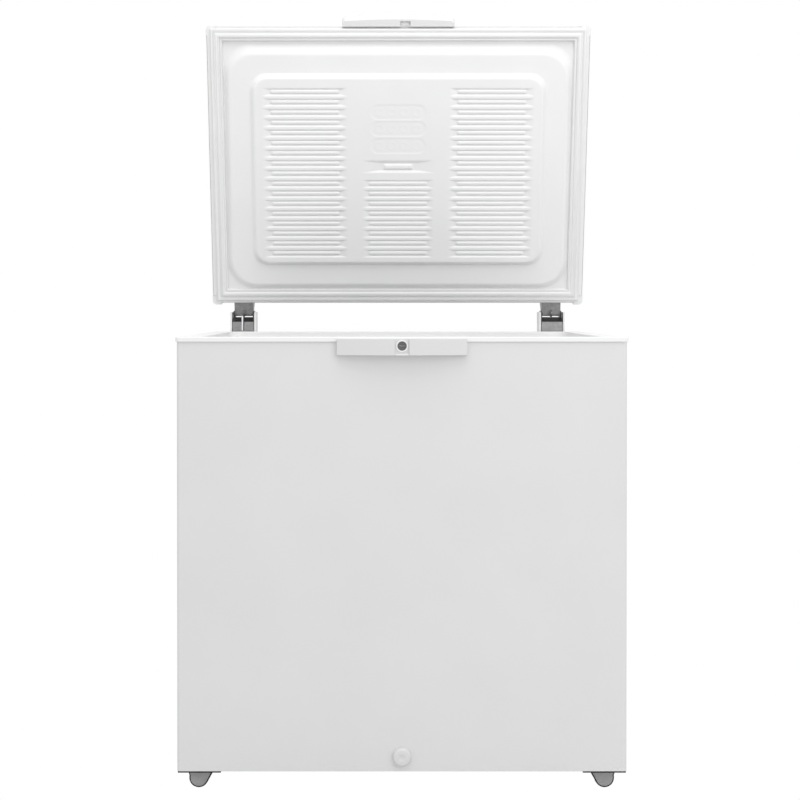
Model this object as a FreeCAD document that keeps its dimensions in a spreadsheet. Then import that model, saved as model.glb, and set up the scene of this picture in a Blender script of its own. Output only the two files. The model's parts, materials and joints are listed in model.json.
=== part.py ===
import FreeCAD, Part
import math
import os
import re
import Sketcher

# Chest freezer on four casters, with its lid held open by two spring hinges.
# Row frame: +Z up, front towards -Y, right side +X, origin on the floor under the middle of the
# overall box. Everything that belongs to the lid is drawn closed, about the hinge axis, and its
# Placement then swings it open.

Vector = FreeCAD.Vector
Rotation = FreeCAD.Rotation

# Driving dimensions, in millimetres and degrees.
DIMS = {
    # cabinet
    "rim_width": 792, "rim_depth": 575, "rim_top": 797, "rim_lip": 8, "rim_plate": 3,
    "rim_overhang": 2.5, "rim_corner": 7, "rim_land": 38, "ledge_drop": 18, "well_corner": 24,
    "rim_edge": 1.6,
    "base_height": 37.3, "base_sheet": 1.2, "skin": 0.8, "case_corner": 5, "rear_flange": 14,
    "wall": 55, "floor_wall": 60, "liner": 1, "tub_corner": 20, "tub_edge": 9,
    "comp_width": 235, "comp_height": 235, "step_wall": 50,
    # lid
    "lid_side": 7, "lid_front_lap": 6.5, "lid_thick": 68, "lid_lap": 6.5, "open_angle": 78.5,
    "gasket_high": 12, "gasket_width": 25, "gasket_gap": 0.3, "gasket_side": 9, "gasket_front": 4,
    "gasket_rear": 6, "lid_skin": 0.8,
    "lid_edge": 6, "cap_size": 19.5, "cap_top_gap": 9, "cap_front": 1.5, "cap_rear": 4, "cap_side": 1,
    "cap_round": 9, "lid_liner": 1.2,
    "plug_one": 10, "plug_two": 9, "one_side": 49, "one_front": 59.8, "one_rear": 44.8,
    "one_run": 12.9, "one_run_front": 26.3, "one_corner": 51, "two_side": 100.5,
    "two_front": 107.8, "two_rear": 93.8, "two_run": 9.4, "two_corner": 30, "rib_deep": 2.6,
    # handle on the lid
    "handle_width": 235, "handle_drop": 7, "handle_high": 36, "handle_wall": 2.5,
    "nose_mid": 25, "nose_end": 21, "sole_mid": 15, "sole_end": 11, "handle_round": 8,
    "strike_left": 4, "strike_right": 25, "strike_depth": 9,
    # lock piece on the cabinet
    "lock_wide": 227, "lock_high": 28.3, "lock_mid": 22, "lock_end": 10, "lock_wall": 2.5,
    "lock_drop": 15, "barrel": 8, "barrel_fit": 0.08, "collar": 10.5, "pocket_half": 12.5,
    "pocket_deep": 4, "pocket_rise": 2.6, "cam_reach": 30, "cam_wide": 8, "cam_thick": 2,
    "cam_rest": 19,
    # hinges
    "pivot_gap": 32, "pivot_rise": 36, "hinge_inset": 59, "hinge_width": 46,
    "hinge_steel": 1.5, "arm_gap": 1, "arm_short": 3, "pin": 2.5, "pin_fit": 0.05,
    "bracket_drop": 120, "web_rise": 21, "cover_wall": 3.5, "cover_room": 1.3,
    "cover_rise": 42, "cover_back": 28, "cover_gap": 2, "cam_base": 10,
    "cam_open": 4.5, "cam_width": 4, "cam_gap": 0.3,
    "spring_radius": 5, "spring_wire": 1.1, "spring_turns": 9, "hinge_reach": 10, "boss": 9,
    "arm_boss": 8, "arm_drop": 10, "plunger_high": 34, "plunger_deep": 13, "hinge_depth": 24,
    "jog_low": 23.4, "jog_high": 12.4, "jog_turn": 0.6, "flange_drop": 50, "arm_top": 6,
    "case_screw_head": 4.5, "case_screw_high": 2.2, "case_screw_low": 22, "case_screw_pitch": 28,
    "lid_screw_head": 4, "lid_screw_high": 2, "lid_screw_rise": 14, "lid_screw_apart": 12,
    "screw_shank": 2, "screw_deep": 12,
    # casters
    "wheel": 17.5, "wheel_width": 22, "caster_inset": 35, "caster_setback": 38, "fork_long": 75,
    "fork_wide": 74, "fork_plate": 2.7, "fork_edge": 1.5, "fork_gap": 0.5, "fork_ear": 3,
    "axle": 3, "axle_fit": 0.05, "wheel_face": 2, "wheel_room": 3, "hood": 1.5, "hood_gap": 0.6,
    "hood_trim": 1.6, "hood_run": 25.6, "hood_lean": 23,
    # drain
    "drain_rise": 26, "drain_tube": 9, "drain_bore": 7, "drain_setback": 60, "drain_cap": 16,
    "drain_cap_high": 9, "drain_fit": 0.05,
    # side grille and controls
    "grille_long": 330, "grille_high": 178, "grille_setback": 70, "grille_rise": 30,
    "grille_plate": 3, "slot_high": 5, "slot_pitch": 12, "slots": 11, "slot_long": 185,
    "knob": 17, "knob_high": 9, "control_long": 100, "control_recess": 6,
    # refrigeration
    "evaporator_pipe": 4, "evaporator_turns": 6, "condenser_pipe": 2.5, "condenser_turns": 6,
    "compressor_radius": 66, "compressor_high": 165, "gland_bore": 3.6,
    # basket
    "basket_wide": 205, "basket_deep": 185, "basket_wall": 3.2, "basket_rim": 2.5,
    "basket_gap": 8, "basket_hook": 7, "basket_corner": 8,
}

# Places worked out from the driving dimensions.
PLACES = {
    "lid_width": "rim_width + 2*lid_side",
    "lid_length": "rim_depth + lid_lap + lid_front_lap",
    "hinge_offset": "rim_right - hinge_inset",
    "arm_width": "hinge_width - 2*(hinge_steel + arm_gap)",
    "cover_half": "hinge_width/2 + cover_room + cover_wall",
    "shell_rear": "-pivot_gap",
    "swing_rear": "(lid_thick - pivot_rise)*sin(open_angle*1deg)"
                  " - (pivot_gap - cap_rear)*cos(open_angle*1deg)",
    "front_reach": "lock_mid - rim_overhang",
    "rim_front": "front_reach - (front_reach + rim_depth + lid_lap + pivot_gap + swing_rear)/2",
    "rim_rear": "rim_front + rim_depth",
    "rim_right": "rim_width/2",
    "cab_right": "rim_right - rim_overhang",
    "cab_front": "rim_front + rim_overhang",
    "cab_rear": "rim_rear - rim_overhang",
    "case_top": "rim_top - rim_plate",
    "foam_right": "cab_right - skin",
    "foam_front": "cab_front + skin",
    "foam_rear": "cab_rear - 2*skin",
    "well_right": "rim_right - rim_land",
    "well_front": "rim_front + rim_land",
    "well_rear": "rim_rear - rim_land",
    "ledge": "rim_top - ledge_drop",
    "liner_top": "ledge - rim_plate",
    "tub_right": "cab_right - wall",
    "tub_front": "cab_front + wall",
    "tub_rear": "cab_rear - wall",
    "tub_floor": "base_height + floor_wall",
    "step_side": "cab_right - comp_width - step_wall",
    "step_top": "base_height + comp_height + step_wall",
    "room_left": "cab_right - comp_width",
    "room_top": "base_height + comp_height",
    "pivot_y": "rim_rear + lid_lap + pivot_gap",
    "pivot_z": "rim_top + pivot_rise",
    # lid, drawn closed about the hinge axis
    "lid_right": "lid_width/2",
    "lid_rear": "shell_rear + cap_rear",
    "shell_front": "shell_rear - lid_length",
    "lid_front": "shell_front - cap_front",
    "shell_right": "lid_right - cap_side",
    "rim_plane": "-pivot_rise",
    "lid_under": "rim_plane + gasket_high",
    "lid_top": "rim_plane + lid_thick",
    "handle_low": "lid_under - handle_drop",
    "lock_top": "rim_top - rim_plate",
    "lock_bottom": "lock_top - lock_high",
    "lock_z": "rim_top - lock_drop",
    "pocket_y": "cab_front - lock_mid + pocket_deep",
    "bracket_low": "rim_top - bracket_drop",
    "web_back": "cab_rear + hinge_reach",
    "plunger_top": "pivot_z - cam_open - cam_gap",
    "plunger_low": "plunger_top - plunger_high",
    "spring_low": "bracket_low + hinge_steel",
    "spring_y": "pivot_y - cam_base",
    "drain_z": "base_height + drain_rise",
    "drain_y": "tub_front + drain_setback",
    "grille_front": "cab_front + grille_setback",
    "grille_rear": "grille_front + grille_long",
    "grille_low": "base_height + grille_rise",
    "grille_top": "grille_low + grille_high",
    "knob_y": "grille_front + 36",
    "knob_z": "grille_top - 50",
    "basket_right": "tub_right - 18",
    "basket_left": "basket_right - basket_wide",
    "basket_top": "ledge + basket_rim + 0.3",
}

doc = FreeCAD.newDocument("ChestFreezer")
dims = doc.addObject("Spreadsheet::Sheet", "Dims")
for row, (alias, number) in enumerate(DIMS.items(), start=1):
    dims.set(f"A{row}", alias)
    dims.set(f"B{row}", str(number))
    dims.setAlias(f"B{row}", alias)
doc.recompute()

nodes = {}


# ---- expressions ---------------------------------------------------------------------------

def bound(text):
    """The FreeCAD expression of a formula that uses the names in DIMS and PLACES."""
    def swap(match):
        word = match.group(0)
        if word in PLACES:
            return "(" + bound(PLACES[word]) + ")"
        return "Dims." + word if word in DIMS else word
    return re.sub(r"[a-z_][a-z_0-9]*", swap, str(text))


def value(text):
    """The number that a formula gives now."""
    return float(dims.evalExpression(bound(text)))


def bind(thing, path, text):
    thing.setExpression(path, bound(text))


# ---- primitives and booleans ---------------------------------------------------------------

def box(name, x, y, z):
    """A block between two planes on each axis."""
    solid = doc.addObject("Part::Box", name)
    for side, axis, (low, high) in zip(("Length", "Width", "Height"), "xyz", (x, y, z)):
        bind(solid, side, f"({high}) - ({low})")
        bind(solid, f"Placement.Base.{axis}", low)
    return solid


ALONG = {"x": Rotation(Vector(0, 1, 0), 90), "y": Rotation(Vector(1, 0, 0), -90), "z": Rotation()}


def stand(solid, axis, start):
    """Points a round primitive along an axis and puts its start at a point."""
    solid.Placement = FreeCAD.Placement(Vector(), ALONG[axis])
    for letter, text in zip("xyz", start):
        bind(solid, f"Placement.Base.{letter}", text)
    return solid


def rod(name, axis, start, radius, length):
    """A cylinder that runs from its start point along +axis."""
    solid = doc.addObject("Part::Cylinder", name)
    bind(solid, "Radius", radius)
    bind(solid, "Height", length)
    return stand(solid, axis, start)


def cone(name, axis, start, radius_one, radius_two, length):
    solid = doc.addObject("Part::Cone", name)
    bind(solid, "Radius1", radius_one)
    bind(solid, "Radius2", radius_two)
    bind(solid, "Height", length)
    return stand(solid, axis, start)


def cut(name, base, *tools):
    for count, tool in enumerate(tools, start=1):
        last = count == len(tools)
        step = doc.addObject("Part::Cut", name if last else f"{name}_cut_{count}")
        step.Base, step.Tool = base, tool
        base = step
    return base


def fuse(name, *parts):
    whole = doc.addObject("Part::MultiFuse", name)
    whole.Shapes = list(parts)
    return whole


def group(name, *parts):
    """Several separate solids in one node."""
    whole = doc.addObject("Part::Compound", name)
    whole.Links = list(parts)
    return whole


def common(name, one, two):
    both = doc.addObject("Part::Common", name)
    both.Base, both.Tool = one, two
    return both


def soften(name, base, radius, chosen):
    """A fillet on the edges that a test chooses."""
    doc.recompute()
    rounded = doc.addObject("Part::Fillet", name)
    rounded.Base = base
    size = value(radius)
    rounded.Edges = [(i, size, size) for i, e in enumerate(base.Shape.Edges, 1) if chosen(e)]
    return rounded


def feature(name, shape):
    """A piece whose shape is drawn with Part's own functions."""
    piece = doc.addObject("Part::Feature", name)
    piece.Shape = shape
    return piece


def node(name, piece):
    """Names a finished piece: the label is the name of its file."""
    piece.Label = name
    nodes[name] = piece
    return piece


def lid_node(name, piece):
    """A finished piece of the lid, swung open about the hinge axis."""
    angle = value("open_angle")
    piece.Placement = FreeCAD.Placement(
        Vector(0, value("pivot_y"), value("pivot_z")), Rotation(Vector(-1, 0, 0), angle))
    bind(piece, "Placement.Base.y", "pivot_y")
    bind(piece, "Placement.Base.z", "pivot_z")
    return node(name, piece)


# ---- edge tests ----------------------------------------------------------------------------

def level(text):
    """Edges that lie at one height."""
    z = value(text)
    return lambda e: abs(e.BoundBox.ZMin - z) < 0.02 and abs(e.BoundBox.ZMax - z) < 0.02


# ---- sketched bodies -----------------------------------------------------------------------

def new_body(name):
    return doc.addObject("PartDesign::Body", name)


def new_sketch(body, name, role, offset):
    sketch = body.newObject("Sketcher::SketchObject", name)
    plane = next(o for o in body.Origin.OriginFeatures if o.Role == role)
    sketch.AttachmentSupport = (plane, [""])
    sketch.MapMode = "FlatFace"
    bind(sketch, "AttachmentOffset.Base.z", offset)
    return sketch


def pin_down(sketch, kind, geometry, point, text):
    """Fixes one coordinate of a sketch point to a formula."""
    index = sketch.addConstraint(
        Sketcher.Constraint(kind, geometry, point, value(text)))
    bind(sketch, f"Constraints[{index}]", text)


def polygon_sketch(body, name, role, offset, points):
    """A closed outline of straight sides whose corners are pairs of formulas."""
    sketch = new_sketch(body, name, role, offset)
    corners = [Vector(value(a), value(b), 0) for a, b in points]
    count = len(corners)
    for i in range(count):
        sketch.addGeometry(Part.LineSegment(corners[i], corners[(i + 1) % count]), False)
    for i in range(count):
        sketch.addConstraint(Sketcher.Constraint("Coincident", i, 2, (i + 1) % count, 1))
    for i, (a, b) in enumerate(points):
        pin_down(sketch, "DistanceX", i, 1, a)
        pin_down(sketch, "DistanceY", i, 1, b)
    return sketch


def round_sketch(body, name, x, y, radius, height):
    """A rectangle with round corners on a plane at a height."""
    sketch = new_sketch(body, name, "XY_Plane", height)
    x0, x1, y0, y1 = (value(t) for t in (*x, *y))
    r = value(radius)
    sides = [((x0 + r, y0), (x1 - r, y0)), ((x1, y0 + r), (x1, y1 - r)),
             ((x1 - r, y1), (x0 + r, y1)), ((x0, y1 - r), (x0, y0 + r))]
    for a, b in sides:
        sketch.addGeometry(Part.LineSegment(Vector(*a, 0), Vector(*b, 0)), False)
    centres = [(x1 - r, y0 + r), (x1 - r, y1 - r), (x0 + r, y1 - r), (x0 + r, y0 + r)]
    for quarter, centre in enumerate(centres):
        circle = Part.Circle(Vector(*centre, 0), Vector(0, 0, 1), r)
        start = (quarter - 1) * math.pi / 2
        sketch.addGeometry(Part.ArcOfCircle(circle, start, start + math.pi / 2), False)
    for side in range(4):
        sketch.addConstraint(Sketcher.Constraint("Tangent", side, 2, side + 4, 1))
        sketch.addConstraint(Sketcher.Constraint("Tangent", side + 4, 2, (side + 1) % 4, 1))
        kind = "Horizontal" if side % 2 == 0 else "Vertical"
        sketch.addConstraint(Sketcher.Constraint(kind, side))
    for corner in (5, 6, 7):
        sketch.addConstraint(Sketcher.Constraint("Equal", 4, corner))
    index = sketch.addConstraint(Sketcher.Constraint("Radius", 4, r))
    bind(sketch, f"Constraints[{index}]", radius)
    pin_down(sketch, "DistanceX", 3, 1, x[0])
    pin_down(sketch, "DistanceX", 1, 1, x[1])
    pin_down(sketch, "DistanceY", 0, 1, y[0])
    pin_down(sketch, "DistanceY", 2, 1, y[1])
    return sketch


def raise_block(body, name, x, y, z, radius):
    """Adds a block with round upright corners, from z[0] up to z[1]."""
    pad = body.newObject("PartDesign::Pad", name)
    pad.Profile = round_sketch(body, name + "_sketch", x, y, radius, z[0])
    bind(pad, "Length", f"({z[1]}) - ({z[0]})")
    return pad


def sink_block(body, name, x, y, z, radius):
    """Removes a block with round upright corners, from z[1] down to z[0]."""
    pocket = body.newObject("PartDesign::Pocket", name)
    pocket.Profile = round_sketch(body, name + "_sketch", x, y, radius, z[1])
    bind(pocket, "Length", f"({z[1]}) - ({z[0]})")
    return pocket


def loft(body, kind, name, low, high):
    """A straight-sided loft between two rounded rectangles, each (x, y, radius, height)."""
    piece = body.newObject("PartDesign::" + kind, name)
    piece.Profile = round_sketch(body, name + "_low", *low)
    piece.Sections = [round_sketch(body, name + "_high", *high)]
    piece.Ruled = True
    return piece


def extruded(name, role, low, high, points):
    """A PartDesign body: one outline padded between two planes along the plane's normal."""
    body = new_body(name)
    pad = body.newObject("PartDesign::Pad", name + "_pad")
    pad.Profile = polygon_sketch(body, name + "_outline", role, low, points)
    bind(pad, "Length", f"({high}) - ({low})")
    return body


# ---- swept pipes ---------------------------------------------------------------------------

def pipe_path(points, bend):
    """Straight runs joined by tangent arcs of one bend radius."""
    edges, here = [], points[0]
    for before, corner, after in zip(points, points[1:], points[2:]):
        back, ahead = (before - corner).normalize(), (after - corner).normalize()
        half = back.getAngle(ahead) / 2
        reach = bend / math.tan(half)
        start, end = corner + back * reach, corner + ahead * reach
        middle = corner + (back + ahead).normalize() * (bend / math.sin(half) - bend)
        edges += [Part.LineSegment(here, start).toShape(), Part.Arc(start, middle, end).toShape()]
        here = end
    edges.append(Part.LineSegment(here, points[-1]).toShape())
    return Part.Wire(edges)


def pipe(points, radius, bend, bore=0):
    """A round pipe along straight runs and arcs."""
    points = [Vector(*p) for p in points]
    path = pipe_path(points, bend)
    start, way = points[0], points[1] - points[0]
    solids = []
    for size in (radius, bore):
        if size:
            ring = Part.Wire([Part.Circle(start, way, size).toShape()])
            solids.append(path.makePipeShell([ring], True, False))
    return solids[0] if len(solids) == 1 else solids[0].cut(solids[1])


def coil_points(x, y, low, high, turns):
    """Corners of a square coil that climbs evenly round a box."""
    (x0, x1), (y0, y1) = x, y
    ring = [(x0, y0), (x1, y0), (x1, y1), (x0, y1)]
    count = 4 * turns + 1
    return [(*ring[i % 4], low + (high - low) * i / (count - 1)) for i in range(count)]


def bow_sketch(body, name, back, end, middle, half, height):
    """An outline with a straight back and sides and a front that bows out in an arc."""
    sketch = new_sketch(body, name, "XY_Plane", height)
    y_back, y_end, y_mid, w = (value(t) for t in (back, end, middle, half))
    points = [Vector(-w, y_back, 0), Vector(w, y_back, 0), Vector(w, y_end, 0),
              Vector(-w, y_end, 0)]
    bow = (w ** 2 + (y_end - y_mid) ** 2) / (2 * (y_end - y_mid))
    half_turn = math.asin(w / bow)
    circle = Part.Circle(Vector(0, y_mid + bow, 0), Vector(0, 0, 1), bow)
    front = -math.pi / 2
    sketch.addGeometry(Part.LineSegment(points[0], points[1]), False)
    sketch.addGeometry(Part.LineSegment(points[1], points[2]), False)
    sketch.addGeometry(Part.ArcOfCircle(circle, front - half_turn, front + half_turn), False)
    sketch.addGeometry(Part.LineSegment(points[3], points[0]), False)
    for joint in ((0, 2, 1, 1), (1, 2, 2, 2), (2, 1, 3, 1), (3, 2, 0, 1)):
        sketch.addConstraint(Sketcher.Constraint("Coincident", *joint))
    for side, point, x, y in ((0, 1, f"-({half})", back), (0, 2, half, back),
                              (1, 2, half, end), (3, 1, f"-({half})", end)):
        pin_down(sketch, "DistanceX", side, point, x)
        pin_down(sketch, "DistanceY", side, point, y)
    sag = f"(({end}) - ({middle}))"
    radius = f"(({half})^2 + {sag}^2)/(2*{sag})"
    index = sketch.addConstraint(Sketcher.Constraint("Radius", 2, bow))
    bind(sketch, f"Constraints[{index}]", radius)
    return sketch


# ---- cabinet -------------------------------------------------------------------------------

RIGHT_LEFT = (("right", "1"), ("left", "-1"))
FULL_X = ("-foam_right", "foam_right")
FULL_Y = ("foam_front", "foam_rear")


def grown(x, y, by):
    """A rectangle's two spans, each grown outwards."""
    return ((f"({x[0]}) - ({by})", f"({x[1]}) + ({by})"),
            (f"({y[0]}) - ({by})", f"({y[1]}) + ({by})"))


def wheel_places():
    """The middle of each wheel: its name, x and y."""
    for side, sign in RIGHT_LEFT:
        for end, y in (("front", "cab_front + caster_setback"),
                       ("rear", "cab_rear - caster_setback")):
            yield f"{end}_{side}", f"{sign}*(cab_right - caster_inset)", y


def wheel_room():
    """The space above each wheel that the base leaves free."""
    rooms = []
    for name, x, y in wheel_places():
        long, wide = "wheel + wheel_room", "wheel_width/2 + wheel_room"
        rooms.append(box("room_" + name, (f"{x} - ({long})", f"{x} + ({long})"),
                         (f"{y} - ({wide})", f"{y} + ({wide})"),
                         ("base_height - 1", "2*wheel + wheel_room")))
    return group("wheel_rooms", *rooms)


def drain_way(name, radius, bore="0"):
    """The drain's round way: in from the front, then up to the tub's floor."""
    z, y = value("drain_z"), value("drain_y")
    corners = [(0, value("cab_front") - 1, z), (0, y, z), (0, y, value("tub_floor"))]
    return feature(name, pipe(corners, value(radius), value("1.5*drain_tube"), value(bore)))


def make_shell():
    body = new_body("shell_body")
    raise_block(body, "shell_outer", ("-cab_right", "cab_right"), ("cab_front", "cab_rear"),
                ("base_height", "case_top"), "case_corner")
    sink_block(body, "shell_inner", FULL_X, ("foam_front", "cab_rear - skin"),
               ("base_height", "case_top"), "case_corner - skin")
    back = box("shell_back", ("rear_flange - cab_right", "cab_right - rear_flange"),
               ("cab_rear - 2*skin", "cab_rear + 1"), ("base_height", "case_top"))
    window = box("shell_window", ("cab_right - 5", "cab_right + 5"),
                 ("grille_front + 8", "grille_rear - 8"), ("grille_low + 8", "grille_top - 8"))
    drain = rod("shell_drain", "y", ("0", "cab_front - 1", "drain_z"), "drain_tube", "5")
    node("cabinet_shell", cut("shell", body, back, window, drain))


def make_rear_panel():
    sheet = box("rear_sheet", ("case_corner - foam_right", "foam_right - case_corner"),
                ("foam_rear", "foam_rear + skin"),
                ("base_height + base_sheet", "case_top"))
    opening = box("rear_opening", ("room_left + 20", "foam_right - 20"),
                  ("foam_rear - 1", "cab_rear + 1"), ("base_height + 20", "room_top - 20"))
    node("rear_panel", cut("rear_panel_cut", sheet, opening))
    cover = box("rear_cover_sheet", ("room_left + 12", "cab_right - rear_flange - 1"),
                ("foam_rear + skin", "foam_rear + 2*skin + 0.8"),
                ("base_height + 12", "room_top - 12"))
    slots = [box(f"rear_slot_{i}", ("room_left + 45", "foam_right - 60"),
                 ("foam_rear - 1", "cab_rear + 3"),
                 (f"base_height + 70 + {i}*14", f"base_height + 75 + {i}*14"))
             for i in range(9)]
    passage = rod("gland_passage", "y", ("foam_right - 45", "foam_rear - 1", "base_height + 45"),
                  "gland_bore + 2.5", "5")
    node("rear_cover", cut("rear_cover_cut", cover, *slots, passage))
    gland = fuse("gland_solid",
                 rod("gland_neck", "y", ("foam_right - 45", "foam_rear + skin - 6",
                                         "base_height + 45"), "gland_bore + 2.5", "6"),
                 rod("gland_head", "y", ("foam_right - 45", "foam_rear + 2*skin + 0.8",
                                         "base_height + 45"), "gland_bore + 4", "4"),
                 rod("gland_middle", "y", ("foam_right - 45", "foam_rear + skin",
                                           "base_height + 45"), "gland_bore + 2.5", "2"))
    bore = rod("gland_hole", "y", ("foam_right - 45", "foam_rear - 10", "base_height + 45"),
               "gland_bore", "30")
    node("cord_gland", cut("gland", gland, bore))


def make_base(rooms):
    level_z = ("base_height", "base_height + base_sheet")
    base = new_body("base_body")
    raise_block(base, "base_outline", FULL_X, FULL_Y, level_z, "case_corner - skin")
    bay = box("bay_floor_box", ("room_left - skin", "foam_right"), FULL_Y, level_z)
    node("base_panel", cut("base_panel_cut", base, bay, rooms))
    node("compressor_plate", cut("compressor_plate_cut",
                                 common("bay_floor", base, bay), rooms))
    lining = fuse("bay_sheets",
                  box("bay_wall", ("room_left - skin", "room_left"), FULL_Y,
                      ("base_height + base_sheet", "room_top + skin")),
                  box("bay_roof", ("room_left", "foam_right - case_corner"), FULL_Y,
                      ("room_top", "room_top + skin")))
    node("bay_lining", lining)


def make_tub():
    """The liner and the foam that its outside leaves, with the step over the compressor."""
    deep = ("tub_front", "tub_rear")
    well = (("-tub_right", "step_side"), deep)
    upper = (("-tub_right", "tub_right"), deep)

    def tub(name, by):
        body = new_body(name)
        raise_block(body, name + "_well", *grown(*well, by),
                    (f"tub_floor - ({by})", f"step_top - ({by})"), f"tub_corner + ({by})")
        raise_block(body, name + "_upper", *grown(*upper, by),
                    (f"step_top - ({by})", "liner_top"), f"tub_corner + ({by})")
        return body

    inside = soften("tub_inside", tub("tub_space", "0"), "tub_edge",
                    lambda e: level("tub_floor")(e))
    hole = rod("liner_hole", "z", ("0", "drain_y", "tub_floor - liner - 1"), "drain_tube", "5")
    node("inner_liner", cut("liner_cut", tub("tub_outside", "liner"), inside, hole))
    return tub("tub_room", "liner")


def make_foam(rooms, tub_room):
    block = new_body("foam_body")
    raise_block(block, "foam_block", FULL_X, FULL_Y, ("base_height + base_sheet", "case_top"),
                "case_corner - skin")
    well = new_body("well_room")
    raise_block(well, "well_block",
                *grown(("-well_right", "well_right"), ("well_front", "well_rear"), "rim_plate"),
                ("liner_top", "case_top"), "well_corner + rim_plate")
    bay = box("bay_room", ("room_left - skin", "foam_right + 1"), ("cab_front", "cab_rear"),
              ("base_height", "room_top + skin"))
    node("insulation_foam", cut("foam", block, tub_room, well, bay, rooms,
                                drain_way("foam_drain", "drain_tube")))


def make_frame():
    body = new_body("frame_body")
    outer = (("-rim_right", "rim_right"), ("rim_front", "rim_rear"))
    well = (("-well_right", "well_right"), ("well_front", "well_rear"))
    raise_block(body, "frame_plate", *outer, ("rim_top - rim_lip", "rim_top"), "rim_corner")
    sink_block(body, "frame_undercut", ("-cab_right", "cab_right"), ("cab_front", "cab_rear"),
               ("rim_top - rim_lip", "case_top"), "case_corner")
    raise_block(body, "frame_well", *grown(*well, "rim_plate"), ("liner_top", "case_top"),
                "well_corner + rim_plate")
    sink_block(body, "frame_ledge", *well, ("ledge", "rim_top"), "well_corner")
    sink_block(body, "frame_mouth", ("-tub_right", "tub_right"), ("tub_front", "tub_rear"),
               ("liner_top", "ledge"), "tub_corner")
    node("top_frame", soften("frame_round", body, "rim_edge", level("rim_top")))


def make_drain():
    tube = drain_way("drain_tube_solid", "drain_tube", "drain_bore")
    stub = box("drain_stub", ("-drain_tube", "drain_tube"), ("cab_front - 2", "cab_front"),
               ("drain_z - drain_tube", "drain_z + drain_tube"))
    node("drain_pipe", cut("drain_pipe_cut", tube, stub))
    disc = rod("drain_disc", "y", ("0", "cab_front - drain_cap_high", "drain_z"), "drain_cap",
               "drain_cap_high")
    face = soften("drain_disc_round", disc, "2.5",
                  lambda e: abs(e.BoundBox.YMax - value("cab_front - drain_cap_high")) < 0.01)
    stem = rod("drain_stem_rod", "y", ("0", "cab_front - 1", "drain_z"),
               "drain_bore - drain_fit", "15")
    dimple = doc.addObject("Part::Sphere", "drain_dimple")
    bind(dimple, "Radius", "14")
    bind(dimple, "Placement.Base.y", "cab_front - drain_cap_high - 12.6")
    bind(dimple, "Placement.Base.z", "drain_z")
    node("drain_cap", cut("drain_cap_cut", fuse("drain_cap_solid", face, stem), dimple))
    node("drain_plug", fuse("drain_plug_solid",
                            rod("plug_disc", "z", ("0", "drain_y", "tub_floor + 0.3"), "13", "3"),
                            rod("plug_stem", "z", ("0", "drain_y", "tub_floor - 9"),
                                "drain_bore - drain_fit", "9.5"),
                            rod("plug_grip", "z", ("0", "drain_y", "tub_floor + 3"), "4", "6")))


# ---- refrigeration and controls ------------------------------------------------------------

def make_pipes():
    v = value
    bend = v("tub_corner + liner + evaporator_pipe + 1")
    out = v("liner + evaporator_pipe + 0.3")
    turns = int(v("evaporator_turns"))
    x, y = v("tub_right") + out, (v("tub_front") - out, v("tub_rear") + out)
    route = coil_points((-x, x), y, v("step_top + 20"), v("liner_top - 30"), turns)
    middle = (0, route[0][1], route[0][2])
    node("evaporator_tube", feature("evaporator", pipe([middle] + route[1:], v("evaporator_pipe"),
                                                       bend)))
    inset = v("condenser_pipe + 0.3")
    x = v("foam_right") - inset
    y = (v("foam_front") + inset, v("foam_rear") - inset)
    turns = int(v("condenser_turns"))
    route = coil_points((-x, x), y, v("room_top + 30"), v("bracket_low - 12"), turns)
    middle = (0, route[0][1], route[0][2])
    node("condenser_tube", feature("condenser", pipe([middle] + route[1:], v("condenser_pipe"),
                                                     v("condenser_pipe") * 5)))


COMP_X = "room_left + comp_width/2 - 8"
COMP_Y = "cab_rear - 150"
COMP_Z = "base_height + base_sheet + 12"


def make_compressor():
    can = soften("can_round", rod("can", "z", (COMP_X, COMP_Y, f"{COMP_Z} + 3"),
                                  "compressor_radius", "compressor_high"), "28",
                 lambda e: e.BoundBox.ZLength < 0.01)
    seam = rod("can_seam", "z", (COMP_X, COMP_Y, f"{COMP_Z} + compressor_high*0.55"),
               "compressor_radius + 2.5", "5")
    feet = box("can_feet", (f"{COMP_X} - 88", f"{COMP_X} + 88"), (f"{COMP_Y} - 45", f"{COMP_Y} + 45"),
               (COMP_Z, f"{COMP_Z} + 3.5"))
    holes, pads, posts = [], [], []
    for i, (sx, sy) in enumerate(((-1, -1), (-1, 1), (1, -1), (1, 1))):
        foot = (f"{COMP_X} + {sx}*78", f"{COMP_Y} + {sy}*35")
        holes.append(rod(f"foot_hole_{i}", "z", (*foot, f"{COMP_Z} - 1"), "7", "6"))
        pads.append(rod(f"pad_{i}", "z", (*foot, "base_height + base_sheet"), "11",
                        "12"))
        pads.append(rod(f"pad_neck_{i}", "z", (*foot, f"{COMP_Z} - 1"), "7", "7"))
    node("compressor", cut("compressor_cut", fuse("can_solid", can, seam, feet), *holes))
    mounts = []
    for i in range(4):
        mounts.append(fuse(f"grommet_{i}", pads[2 * i], pads[2 * i + 1]))
    node("compressor_grommets", group("grommets", *mounts))
    relay = box("relay_box", (f"{COMP_X} - 26", f"{COMP_X} + 26"),
                (f"{COMP_Y} - compressor_radius - 32", f"{COMP_Y} - compressor_radius + 12"),
                (f"{COMP_Z} + 30", f"{COMP_Z} + 90"))
    hollow = rod("relay_hollow", "z", (COMP_X, COMP_Y, COMP_Z), "compressor_radius + 0.2", "200")
    node("start_relay_cover", cut("relay", relay, hollow))


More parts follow.
